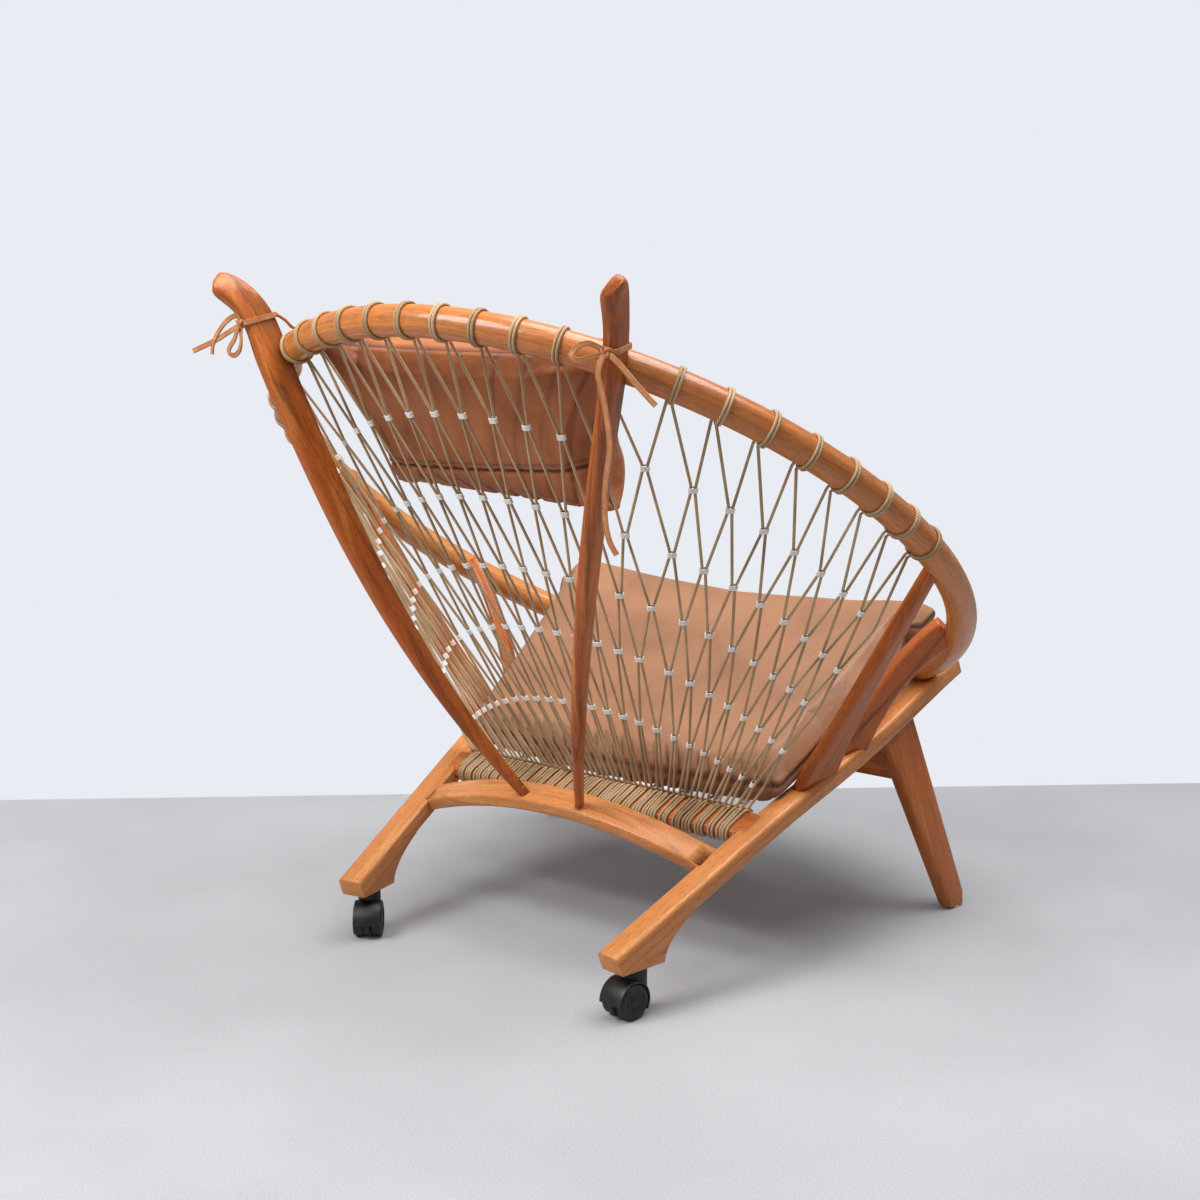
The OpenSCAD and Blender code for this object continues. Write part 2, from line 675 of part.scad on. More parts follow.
// Seat net: a fan of cords from the seat back rail forward to the hoop's front
seat_fan = 36;
seat_lanes = wind_turns / 2;
seat_rows = [0.07, 0.5];
// Each lane's two cords start in the gaps on either side of one turn of the winding
function seat_u(j) = 1 - (2 * j + 1) / seat_lanes;
function seat_foot(u) = seat_rail_at(wind_span * u, seat_rail_w / 2 + cord_rest + glue, 0);
function seat_hold(u) = hoop_at(270 + seat_fan * u);
function seat_head(u) = seat_hold(u)
    + unit(seat_foot(u) - seat_hold(u)) * (hoop_bar / 2 + cord_rest + glue);
function seat_at(u, f) = mix(seat_foot(u), seat_head(u), f);
seat_half = 1 / seat_lanes;
function seat_cord(j, side) = let (u = seat_u(j), du = -side * seat_half / 2)
    [seat_at(u + du, 0), seat_at(u, seat_rows[0]) + [-side * cord_apart / 2, 0, 0],
        seat_at(u + du, seat_rows[1]), seat_at(u, 1) + [-side * cord_apart / 2, 0, 0]];
module seat_panel(first, last) {
    color(cord_tan)
        for (j = [first : last]) for (side = [-1, 1])
            cord(seat_cord(j, side), 4, [0.1, 0.1, 0.9]);
}
module seat_net_clips() {
    color(clip_white)
        for (j = [0 : seat_lanes - 1]) let (u = seat_u(j), v = unit(seat_head(u) - seat_foot(u)))
            translate(seat_at(u, seat_rows[0]))
                rotate([0, acos(v[2]), atan2(v[1], v[0])])
                    cube([clip_t, clip_w, clip_h], center = true);
}

// Height of the seat net's surface under a point in plan, found by a few steps
seat_y0 = seat_foot(0)[1];
seat_z0 = seat_foot(0)[2];
function hold_at(x) = let (c = clamp(x / hoop_r, -0.95, 0.95), y = -plan_b * sqrt(1 - c * c))
    [y, hoop_h + y * tan(hoop_tilt)];
front_x = hoop_r * sin(seat_fan);
function net_k(x, y, k, n) = n == 0 ? k : let (
    w = (seat_y0 - y) / (seat_y0 - hold_at(k * front_x)[0]))
    net_k(x, y, clamp(x / mix(net_span, front_x, w), -1.25, 1.25), n - 1);
function net_z(x, y) = let (
    k = net_k(x, y, x / net_span, 4), hold = hold_at(k * front_x),
    w = (seat_y0 - y) / (seat_y0 - hold[0]))
    mix(seat_z0, hold[1], w);

// A pillow of n by m squares: top(u, v) and low(u, v) meet along its edge, and its
// rounded border takes the share ru of its half width and rv of its half length
function place(i, n, r) = i > n / 2 ? -place(n - i, n, r)
    : i < 4 ? r * [0, 0.1, 0.42, 1][i] - 1 : mix(r - 1, 1 - r, (i - 3) / (n - 6));
module pillow(top, low, n, m, ru, rv) {
    pts = concat([for (j = [0 : m]) for (i = [0 : n]) top(place(i, n, ru), place(j, m, rv))],
        [for (j = [0 : m]) for (i = [0 : n]) low(place(i, n, ru), place(j, m, rv))]);
    function up_id(i, j) = j * (n + 1) + i;
    function low_id(i, j) = (i == 0 || i == n || j == 0 || j == m)
        ? up_id(i, j) : (n + 1) * (m + 1) + up_id(i, j);
    // Each square's diagonal runs towards the nearest corner
    function split(a, b, c, d, other) = other ? [[a, d, b], [b, d, c]] : [[a, d, c], [a, c, b]];
    polyhedron(points = pts, faces = [for (j = [0 : m - 1]) for (i = [0 : n - 1])
        let (other = (i < n / 2) != (j < m / 2))
        each concat(
            split(up_id(i, j), up_id(i + 1, j), up_id(i + 1, j + 1), up_id(i, j + 1), other),
            [for (f = split(low_id(i, j), low_id(i + 1, j), low_id(i + 1, j + 1), low_id(i, j + 1),
                other)) [f[0], f[2], f[1]]])]);
}
// A border is a quarter circle where p is 2, and fuller where p is more
function border(u, r, p) = let (q = clamp((1 - abs(u)) / r, 0, 1)) pow(1 - pow(1 - q, p), 1 / p);
function full(u, v, ru, rv, p) = border(u, ru, 2) * border(v, rv, p)
    * (0.92 + 0.08 * (1 - u * u) * (1 - v * v));

// Seat cushion: v = -1 at its rear edge and 1 at its front edge
cushion_y = 14;
cushion_rise = 0.58;
cushion_round = 0.16;
cushion_hollow = 30;
side_pull = 0.045;
rear_full = 3;
cushion_ru = cushion_t / 2 / cushion_front;
cushion_rv = cushion_t / cushion_l;
function cushion_xy(u, v) = [
    u * mix(cushion_rear, cushion_front, pow((v + 1) / 2, 0.8))
        * sqrt(1 - cushion_round * v * v) / sqrt(1 - cushion_round / 2) * (1 - side_pull * (1 - v * v)),
    cushion_y - cushion_l / 2 - v * cushion_l / 2 * sqrt(1 - cushion_round * u * u)];
function cushion_top_z(x, y) = seat_z0 + cushion_t + cushion_rise * (cushion_y - cushion_t / 2 - y)
    - cushion_hollow * pow((cushion_y - y) / cushion_l, 2) * (1 - pow(x / cushion_front, 2));
// Height over the hoop's bar near it, and far below the net elsewhere
far_below = 1000;
bar_lift = (hoop_bar / 2 + soft_gap + 0.8) / cos(hoop_tilt);
function ease(q) = let (c = clamp(q, 0, 1)) c * c * (3 - 2 * c);
function bar_z(x, y) = hoop_h + y * tan(hoop_tilt) + bar_lift
    - far_below * (1 - ease((norm([x, y / cos(hoop_tilt)]) - hoop_r + 95) / 65));
cushion_full = 0.98;
function cushion_low_z(x, y) = max(net_z(x, y) + cord_d / 2 + soft_gap,
    bar_z(x, y), cushion_top_z(x, y) - cushion_full * cushion_t);
function cushion_pt(u, v, s) = let (
    p = cushion_xy(u, v), hi = cushion_top_z(p[0], p[1]), lo = cushion_low_z(p[0], p[1]))
    [p[0], p[1], (hi + lo) / 2 + s * (hi - lo) / 2
        * full(u, v, cushion_ru, cushion_rv, v < 0 ? rear_full : 2)];
module seat_cushion() {
    color(leather_seat)
        pillow(function (u, v) cushion_pt(-u, v, 1), function (u, v) cushion_pt(-u, v, -1),
            14, 10, cushion_ru, cushion_rv);
}

// Neck cushion: v = -1 at its bottom edge, 1 at its top. It leans back on the net, a little
// steeper than it, and its top corners lie just within the hoop and in front of its plane
neck_taper = 0.26;
neck_round = 0.08;
neck_steep = 6.1;
neck_in = 13.6;
neck_front = 26.4;
mid_lane = lane_head((lanes - 1) / 2) - lane_foot((lanes - 1) / 2);
neck_lean = atan2(mid_lane[1], mid_lane[2]) - neck_steep;
neck_up = [0, sin(neck_lean), cos(neck_lean)];
neck_out = [0, -cos(neck_lean), sin(neck_lean)];
neck_top = [0, 0, hoop_h]
    + [0, cos(hoop_tilt), sin(hoop_tilt)]
        * sqrt(pow(hoop_r - neck_in, 2) - pow(neck_w / 2, 2) * (1 - neck_round))
    + [0, -sin(hoop_tilt), cos(hoop_tilt)] * neck_front;
neck_mid = neck_top - neck_up * neck_h / 2;
neck_rear_t = 0.22;
neck_ru = neck_t / neck_w;
neck_rv = neck_t / neck_h;
// Its seam lies neck_rear_t of its thickness in from its rear face
function neck_pt(u, v, s) = let (
    w = neck_w / 2 * (1 - neck_taper * (1 - v) / 2) * sqrt(1 - neck_round * v * v)
        * (1 - side_pull * (1 - v * v)),
    h = neck_h / 2 * sqrt(1 - neck_round * u * u) * (1 - side_pull * (1 - u * u)),
    t = s > 0 ? 1 - neck_rear_t : -neck_rear_t)
    neck_mid + [u * w, 0, 0] + neck_up * (v * h)
        + neck_out * (t * neck_t * full(u, v, neck_ru, neck_rv, 2));
module neck_cushion() {
    color(leather_neck)
        pillow(function (u, v) neck_pt(-u, -v, 1), function (u, v) neck_pt(-u, -v, -1),
            14, 8, neck_ru, neck_rv);
}

// Straps: a band round the upright just above the hoop, a tie to the cushion's corner,
// a knot behind, and a bow's loops and tails
strap_q_left = 0.5;
strap_q_right = 0.29;
function horn_at(q) = upright_cross + [
    lookup(q, [for (p = horn_shape) [p[2], p[0]]]), lookup(q, [for (p = horn_shape) [p[2], p[1]]]), q]
    * horn_h;
// The band lies more level than square to the horn
strap_level = 0.5;
function strap_up(q) = unit(mix(unit(horn_at(q + 0.12) - horn_at(q - 0.12)), [0, 0, 1], strap_level));
function strap_back(q) = let (n = strap_up(q)) unit(upright_hint - n * (upright_hint * n));
function strap_side(q) = cross(strap_back(q), strap_up(q));
strap_deep = upright_w / 2 + glue + strap_t;
strap_wide = upright_thick / 2 + glue + strap_t;
function strap_pt(q, side, back, up) =
    horn_at(q) + strap_side(q) * side + strap_back(q) * back + strap_up(q) * up;
// A flat lace along points p: wide(t) is the direction of its width where it runs along t
module strip(p, wide) {
    loft([for (i = [0 : len(p) - 1]) let (t = along(p, i), a = unit(wide(t)), b = cross(t, a))
        [for (q = [[1, 1], [-1, 1], [-1, -1], [1, -1]])
            p[i] + a * (q[0] * strap_w / 2) + b * (q[1] * strap_t / 2)]]);
}
module strap_band(q) {
    difference() {
        member([for (k = [-0.5, 0.5]) concat(strap_pt(q, 0, 0, strap_w * k),
            [2 * strap_deep, 2 * strap_wide])], upright_hint, 6);
        upright_blank(glue);
    }
}
// The tie passes over the hoop between the upright and the next lashing
neck_corner = neck_pt(0.8, 1, -1);
tie_turn = 0.5;
tie_over = hoop_at(upright_t + tie_turn);
tie_off = hoop_bar / 2 + strap_w / 2 + 2;
function tie_path(q) = spline([
    strap_pt(q, 1 - strap_wide, strap_t - strap_deep, 0),
    mix(strap_pt(q, -strap_wide, -strap_deep, 0), tie_over + [0, 0, tie_off], 0.5) + [0, 0, 3],
    tie_over + [0, 0, tie_off + 3], tie_over + [-14, -0.9 * tie_off, 0.85 * tie_off],
    neck_corner + neck_up * 14 + [12, 2, 0], neck_corner + neck_up * 0.5], 3);
knot_back = strap_deep + strap_t;
function hang_pt(q, p) = strap_pt(q, p[0], knot_back + p[1], 0) + [0, 0, p[2]];
function hanging(q, path) = spline([for (p = path) hang_pt(q, p)], 3);
// The left bow hangs down; the right one lies across the hoop and has one long end
left_bow = [
    [[-2, 0, 0], [3, 4, 12], [20, 12, 7], [31, 22, -8], [37, 26, -21], [39, 27, -34]],
    [[0, 0, -2], [17, 12, -9], [34, 24, -16], [64, 45, -24]],
    [[0, 3, -4], [7, 6, -19], [17, 8, -28], [22, 9, -35], [17, 8, -40], [8, 6, -42],
        [-2, 4, -37], [-5, 2, -27], [-2, 0, -14], [0, -1, -5]]];
right_bow = [
    [[2, 0, -2], [20, 4, -14], [42, 4, -36], [64, 3, -56]],
    [[-2, 0, -1], [-5, 6, -10], [-8, 8, -27], [-3, 8, -45], [5, 8, -87], [7, 8, -117],
        [2, 7, -152], [0, 6, -194], [5, 5, -224], [15, 4, -242]],
    [[-3, 0, 1], [-20, 6, 9], [-34, 9, 4], [-40, 14, -6], [-32, 12, -12], [-16, 7, -7],
        [-3, 1, -4]]];
module neck_strap(q, bow) {
    color(leather_neck) {
        strap_band(q);
        strip(tie_path(q), function (t) let (h = hoop_dir(upright_t)) h - t * (h * t));
        translate(strap_pt(q, 0, knot_back, 0))
            rotate([0, 0, -upright_turn])
                cube([10, 2 * strap_t + 2, strap_w + 2], center = true);
        for (path = bow) strip(hanging(q, path), function (t) cross(t, strap_back(q)));
    }
}

// Casters: the stem turns in a sleeve in the foot block, and two wheels flank a web
run_fit = 0.08;
sleeve_wall = 1.5;
sleeve_d = stem_d + 2 * (run_fit + sleeve_wall);
flange_d = 24;
flange_h = 1.5;
stem_at = rail_at(caster_s, 0, 0);
module at_stem(z) {
    translate([stem_at[0], stem_at[1], z]) children();
}
module socket_bore() {
    at_stem(block_z - 10) cylinder(d = sleeve_d + 2 * dowel_fit, h = stem_l + 13, $fn = 48);
}
module caster_socket() {
    color(steel)
        at_stem(block_z)
            difference() {
                union() {
                    cylinder(d = sleeve_d, h = stem_l + 2.5, $fn = 48);
                    translate([0, 0, -flange_h]) cylinder(d = flange_d, h = flange_h, $fn = 48);
                }
                translate([0, 0, -10]) cylinder(d = stem_d + 2 * run_fit, h = stem_l + 11, $fn = 48);
            }
}
swivel_gap = 0.4;
boss_top = block_z - flange_h - swivel_gap;
boss_d = 34;
web_t = 8;
wheel_gap = 0.6;
hood_gap = 1.6;
hood_wall = 2.4;
hood_w = web_t + 2 * (wheel_gap + wheel_w) - 3;
hood_r = wheel_d / 2 + hood_gap + hood_wall;
wheel_z = wheel_d / 2;
stem_foot = boss_top - 15;
// Children are drawn with the swivel axis at x = y = 0 and the axle along X at y = trail
module at_caster(yaw) {
    at_stem(0) rotate([0, 0, yaw]) children();
}
module across(x, d, l) {
    translate([x, trail, wheel_z]) rotate([0, 90, 0]) cylinder(d = d, h = l, $fn = 64);
}
module caster_stem(yaw) {
    color(steel)
        at_caster(yaw)
            translate([0, 0, stem_foot]) cylinder(d = stem_d, h = block_z + stem_l - stem_foot, $fn = 48);
}
module caster_hood(yaw) {
    color(black)
        at_caster(yaw)
            difference() {
                union() {
                    across(-hood_w / 2, 2 * hood_r, hood_w);
                    translate([0, 0, wheel_z]) cylinder(d = boss_d, h = boss_top - wheel_z, $fn = 48);
                }
                for (k = [0, 1]) mirror([k, 0, 0])
                    across(web_t / 2, wheel_d + 2 * hood_gap, wheel_w * 2);
                translate([-50, trail - 60, -60]) cube([100, 120, 60 + wheel_z - wheel_d * 0.3]);
                translate([web_t / 2, trail + 6, -1]) cube([50, 50, wheel_z]);
                translate([-50 - web_t / 2, trail + 6, -1]) cube([50, 50, wheel_z]);
                translate([0, 0, stem_foot]) cylinder(d = stem_d + 2 * dowel_fit, h = 30, $fn = 48);
                across(-20, axle_d + 2 * dowel_fit, 40);
            }
}
axle_end = 3;
axle_l = web_t + 2 * (wheel_gap + wheel_w - axle_end - 0.6);
module caster_axle(yaw) {
    color(steel) at_caster(yaw) across(-axle_l / 2, axle_d, axle_l);
}
tread_r = 2.5;
dish = 2;
// One wheel: side is 1 for the wheel on the caster's left and -1 for the other
module wheel(yaw, side) {
    color(black)
        at_caster(yaw)
            translate([side * (web_t / 2 + wheel_gap), trail, wheel_z])
                rotate([0, side * 90, 0])
                    difference() {
                        rotate_extrude($fn = 72)
                            polygon([[0, 0], [wheel_d / 2 - 1, 0], [wheel_d / 2, 1],
                                [wheel_d / 2, wheel_w - tread_r], [wheel_d / 2 - tread_r, wheel_w],
                                [wheel_d * 0.36, wheel_w], [wheel_d * 0.33, wheel_w - dish],
                                [wheel_d * 0.16, wheel_w - dish], [wheel_d * 0.13, wheel_w - 0.4],
                                [0, wheel_w - 0.4]]);
                        translate([0, 0, -1])
                            cylinder(d = axle_d + 2 * run_fit, h = wheel_w - axle_end + 1, $fn = 48);
                    }
}

// Least free space of the cords wound round the hoop and round the seat back rail, to themselves
function gap_in(p, skip) = min([for (i = [0 : len(p) - 2]) for (j = [i + skip : len(p) - 1])
    norm(p[i] - p[j])]) - cord_d;
echo(lashing_gap = gap_in(lash_path(13), lash_steps - 1), winding_gap = gap_in(wind_path, 7));

// Fasteners, each kind on both sides
module hoop_screws() { color(steel) both() screws(hoop_screw); }
module strut_screws() { color(steel) both() screws(strut_screw); }
module strut_dowels() { color(wood) both() rods(strut_dowel, dowel_d); }
module upright_screws() { color(steel) both() screws(upright_screw); }
module upright_dowels() { color(wood) both() rods(upright_dowel, pin_d); }
module stretcher_dowels() { color(wood) both() rods(stretcher_dowel, dowel_d); }
module seat_rail_dowels() { color(wood) both() rods(seat_rail_dowel, dowel_d); }
module leg_dowels() { color(wood) both() rods(leg_dowel, dowel_d); }
module apron_dowels() { color(wood) both() rods(apron_dowel, dowel_d); }

hoop();
side_rail();  // side_rail_left
mirrored() side_rail();  // side_rail_right
foot_block();  // foot_block_left
mirrored() foot_block();  // foot_block_right
front_leg();  // front_leg_left
mirrored() front_leg();  // front_leg_right
front_apron();
glide();  // glide_left
mirrored() glide();  // glide_right
rear_stretcher();
back_upright();  // back_upright_left
mirrored() back_upright();  // back_upright_right
hoop_strut();  // hoop_strut_left
mirrored() hoop_strut();  // hoop_strut_right
seat_brace();  // seat_brace_left
mirrored() seat_brace();  // seat_brace_right
seat_back_rail();
rail_winding();
hoop_lashings();
net_panel(0, 5);  // back_net_left_outer
net_panel(6, 10);  // back_net_left
net_panel(11, 15);  // back_net_centre
net_panel(16, 20);  // back_net_right
net_panel(21, 26);  // back_net_right_outer
back_net_clips();
seat_panel(0, 2);  // seat_net_left
seat_panel(3, 6);  // seat_net_centre
seat_panel(7, 9);  // seat_net_right
seat_net_clips();
seat_cushion();
neck_cushion();
neck_strap(strap_q_left, left_bow);  // neck_strap_left
mirrored() neck_strap(strap_q_right, right_bow);  // neck_strap_right
hoop_screws();
strut_screws();
strut_dowels();
upright_screws();
upright_dowels();
stretcher_dowels();
seat_rail_dowels();
leg_dowels();
apron_dowels();
caster_socket();  // caster_socket_left
caster_stem(yaw_left);  // caster_stem_left
caster_hood(yaw_left);  // caster_hood_left
caster_axle(yaw_left);  // caster_axle_left
wheel(yaw_left, -1);  // wheel_inner_left
wheel(yaw_left, 1);  // wheel_outer_left
mirrored() caster_socket();  // caster_socket_right
mirrored() caster_stem(yaw_right);  // caster_stem_right
mirrored() caster_hood(yaw_right);  // caster_hood_right
mirrored() caster_axle(yaw_right);  // caster_axle_right
mirrored() wheel(yaw_right, -1);  // wheel_inner_right
mirrored() wheel(yaw_right, 1);  // wheel_outer_right
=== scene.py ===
# Hoop chair: the finish of every surface, the cords, the leather cushions and the laces,
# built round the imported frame. Metres; the front is -Y, the sitter's left is +X.
import math
import random

import bmesh
import bpy
import numpy as np
from mathutils import Matrix, Vector
from mathutils.kdtree import KDTree


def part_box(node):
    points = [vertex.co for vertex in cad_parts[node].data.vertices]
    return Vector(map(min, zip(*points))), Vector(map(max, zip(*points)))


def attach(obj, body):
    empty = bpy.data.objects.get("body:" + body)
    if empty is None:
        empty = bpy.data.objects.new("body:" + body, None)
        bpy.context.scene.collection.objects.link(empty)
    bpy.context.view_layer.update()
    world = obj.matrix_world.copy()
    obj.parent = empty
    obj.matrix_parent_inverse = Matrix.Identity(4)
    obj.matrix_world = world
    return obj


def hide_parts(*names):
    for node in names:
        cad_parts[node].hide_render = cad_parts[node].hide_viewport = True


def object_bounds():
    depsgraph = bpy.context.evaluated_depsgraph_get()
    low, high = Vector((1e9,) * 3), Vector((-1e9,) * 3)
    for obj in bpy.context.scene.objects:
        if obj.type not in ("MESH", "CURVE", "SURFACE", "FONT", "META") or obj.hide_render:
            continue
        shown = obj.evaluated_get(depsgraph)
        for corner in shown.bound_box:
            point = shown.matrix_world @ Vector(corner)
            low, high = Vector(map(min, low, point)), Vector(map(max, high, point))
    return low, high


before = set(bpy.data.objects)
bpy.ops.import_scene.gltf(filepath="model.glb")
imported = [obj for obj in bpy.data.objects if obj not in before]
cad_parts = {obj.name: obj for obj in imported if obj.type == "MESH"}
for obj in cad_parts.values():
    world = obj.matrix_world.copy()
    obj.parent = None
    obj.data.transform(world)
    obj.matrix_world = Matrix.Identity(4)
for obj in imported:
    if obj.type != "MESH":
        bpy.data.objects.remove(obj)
cad_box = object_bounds()
scene = bpy.context.scene

# The photograph's camera, and the foot of the wall behind the chair, in its 1200 x 1200 frame
PHOTO = 1200
CAMERA_AT = (-1.640, 2.1567, 1.0081)
CAMERA_YAW = 142.31
CAMERA_PITCH = 10.556
SENSOR = 36.0
LENS = 54.252
WALL_FOOT_LEFT = (0, 800)
WALL_FOOT_RIGHT = (1200, 783)

# The hoop
HOOP_D = 1.120
HOOP_BAR = 0.043
HOOP_TILT = math.radians(35.3)
HOOP_H = 0.624
HOOP_R = (HOOP_D - HOOP_BAR) / 2

# The side rails' slope, and the seat back rail's section and half its length
RAIL_SLOPE = math.radians(22.44)
SEAT_RAIL_W = 0.054
SEAT_RAIL_T = 0.022
SEAT_RAIL_R = 0.009
SEAT_RAIL_X = 0.2742

# Cord: its diameter, how far apart two lie in a clip, one turn of its plies, and its bends
CORD_D = 0.0042
CORD_APART = 0.0045
CORD_LAY = 0.013
CORD_BEND = 0.008
BEND_STEPS = 4
CURVE_STEPS = 8
CORD_SIDES = 8

# Colours as they look in plain light
WOOD_TONES = ("#7a3511", "#b4602a", "#d08a48")
HOOP_TONES = ("#8f4a1a", "#bf7033", "#de9c55")
RAIL_TONES = ("#95511f", "#c47b42", "#de9f62")
DARK_TONES = ("#642a0c", "#ab531d", "#d0843f")
CORD_TONES = ("#7d5f40", "#b0906a", "#cdb28c")
SEAT_TONES = ("#7d5236", "#946646", "#a17250")
NECK_TONES = ("#6e3412", "#9b5424", "#b06a36")
# Painted shade: the dark colours each leather is blended to in its creases, folds and seams
SEAT_FOLD_SHADE = "#4a2510"
NECK_FOLD_SHADE = "#3a1606"
LACE_TONES = ("#a4663d", "#b97a4c", "#cd9161")
PORE_COLOUR = "#431d0a"
# Painted shade inside the lace's stitch holes
HOLE_SHADE = "#5f3318"
STEEL_TONES = ("#8b8b88", "#b9b9b6")
WALL_COLOUR = "#e9ecf2"
LIGHT_COLOUR = "#f4f6fa"
FLOOR_TONES = ("#9b9b9e", "#aeaeb1", "#c1c1c4")


def rgb(code):
    """A '#rrggbb' colour as linear RGBA."""
    srgb = [int(code[i:i + 2], 16) / 255 for i in (1, 3, 5)]
    return [c / 12.92 if c <= 0.04045 else ((c + 0.055) / 1.055) ** 2.4 for c in srgb] + [1.0]


def unit(v):
    return v / np.linalg.norm(v)


def vec(*v):
    return np.array(v, float)


def mix(a, b, t):
    return a + (b - a) * t


# Camera
def camera_axes():
    yaw, pitch = math.radians(CAMERA_YAW), math.radians(CAMERA_PITCH)
    look = vec(math.cos(pitch) * math.sin(yaw), math.cos(pitch) * math.cos(yaw), -math.sin(pitch))
    right = unit(np.cross(look, (0, 0, 1)))
    return look, right, np.cross(right, look)


def floor_point(pixel):
    """The point of the floor that the photograph shows at a pixel."""
    look, right, up = camera_axes()
    focal = LENS / SENSOR * PHOTO
    ray = look * focal + right * (pixel[0] - PHOTO / 2) - up * (pixel[1] - PHOTO / 2)
    at = np.array(CAMERA_AT)
    return at - ray * (at[2] / ray[2])


def make_camera():
    data = bpy.data.cameras.new("camera")
    data.sensor_width = SENSOR
    data.lens = LENS
    camera = bpy.data.objects.new("camera", data)
    camera.location = CAMERA_AT
    camera.rotation_mode = "QUATERNION"
    camera.rotation_quaternion = Vector(camera_axes()[0]).to_track_quat("-Z", "Y")
    scene.collection.objects.link(camera)
    scene.camera = camera


make_camera()


class Nodes:
    """The node tree of a material or a world, built node by node."""

    def __init__(self, owner):
        owner.use_nodes = True
        self.tree = owner.node_tree

    def add(self, kind, inputs=None, **settings):
        node = self.tree.nodes.new(kind)
        for name, value in settings.items():
            setattr(node, name, value)
        for key, value in (inputs or {}).items():
            self.put(node.inputs[key], value)
        return node

    def put(self, socket, value):
        if isinstance(value, bpy.types.NodeSocket):
            self.tree.links.new(value, socket)
        elif value is not None:
            socket.default_value = value

    def math(self, operation, a, b=None):
        return self.add("ShaderNodeMath", {0: a, 1: b}, operation=operation).outputs[0]


class Finish(Nodes):
    """A procedural material."""

    def __init__(self, name, **shader):
        self.material = bpy.data.materials.new(name)
        super().__init__(self.material)
        self.shader = self.tree.nodes["Principled BSDF"]
        for socket, value in shader.items():
            self.shader.inputs[socket.replace("_", " ")].default_value = value
        self.coords = self.add("ShaderNodeTexCoord").outputs
        self.place = self.coords["Object"]

    def mapped(self, vector, scale=(1, 1, 1), turn=(0, 0, 0), move=(0, 0, 0)):
        inputs = {"Vector": vector, "Scale": scale, "Rotation": turn, "Location": move}
        return self.add("ShaderNodeMapping", inputs).outputs[0]

    def noise(self, vector, scale=1.0, detail=3.0, rough=0.5, warp=0.0):
        inputs = {"Vector": vector, "Scale": scale, "Detail": detail, "Roughness": rough,
                  "Distortion": warp}
        return self.add("ShaderNodeTexNoise", inputs).outputs["Fac"]

    def cells(self, vector, scale):
        return self.add("ShaderNodeTexVoronoi", {"Vector": vector, "Scale": scale}).outputs["Distance"]

    def times(self, a, b):
        return self.math("MULTIPLY", a, b)

    def plus(self, a, b):
        return self.math("ADD", a, b)

    def step(self, value, low, high, out_low=0.0, out_high=1.0):
        inputs = {"Value": value, "From Min": low, "From Max": high,
                  "To Min": out_low, "To Max": out_high}
        return self.add("ShaderNodeMapRange", inputs).outputs[0]

    def ramp(self, value, tones, *stops):
        node = self.add("ShaderNodeValToRGB", {0: value})
        points = node.color_ramp.elements
        while len(points) < len(stops):
            points.new(0.5)
        for point, stop, tone in zip(points, stops, tones):
            point.position = stop
            point.color = rgb(tone)
        return node.outputs[0]

    def blend(self, share, a, b):
        inputs = {0: share, 6: a, 7: b}
        return self.add("ShaderNodeMix", inputs, data_type="RGBA").outputs[2]

    def bump(self, height, depth, under=None):
        inputs = {"Height": height, "Distance": depth, "Strength": 1.0, "Normal": under}
        return self.add("ShaderNodeBump", inputs).outputs[0]

    def set(self, socket, value):
        self.put(self.shader.inputs[socket], value)


# Materials
def grain_straight(finish, along, across):
    """Coordinates whose X runs along the grain and Y through its growth rings."""
    a = unit(vec(*along))
    b = unit(across - a * np.dot(across, a))
    turn = Matrix((a, b, np.cross(a, b))).to_euler("XYZ")
    return finish.mapped(finish.place, turn=turn)


def grain_round(finish):
    """The same along a hoop: the angle times its radius, then the two ways across the bar."""
    flat = finish.mapped(finish.place, turn=(-HOOP_TILT, 0, 0),
                         move=(0, -HOOP_H * math.sin(HOOP_TILT), -HOOP_H * math.cos(HOOP_TILT)))
    part = finish.add("ShaderNodeSeparateXYZ", {0: flat}).outputs
    angle = finish.math("ARCTAN2", part[1], part[0])
    radius = finish.math("SQRT", finish.plus(finish.times(part[0], part[0]),
                                             finish.times(part[1], part[1])))
    inputs = {0: finish.times(angle, HOOP_R), 1: radius, 2: part[2]}
    return finish.add("ShaderNodeCombineXYZ", inputs).outputs[0]


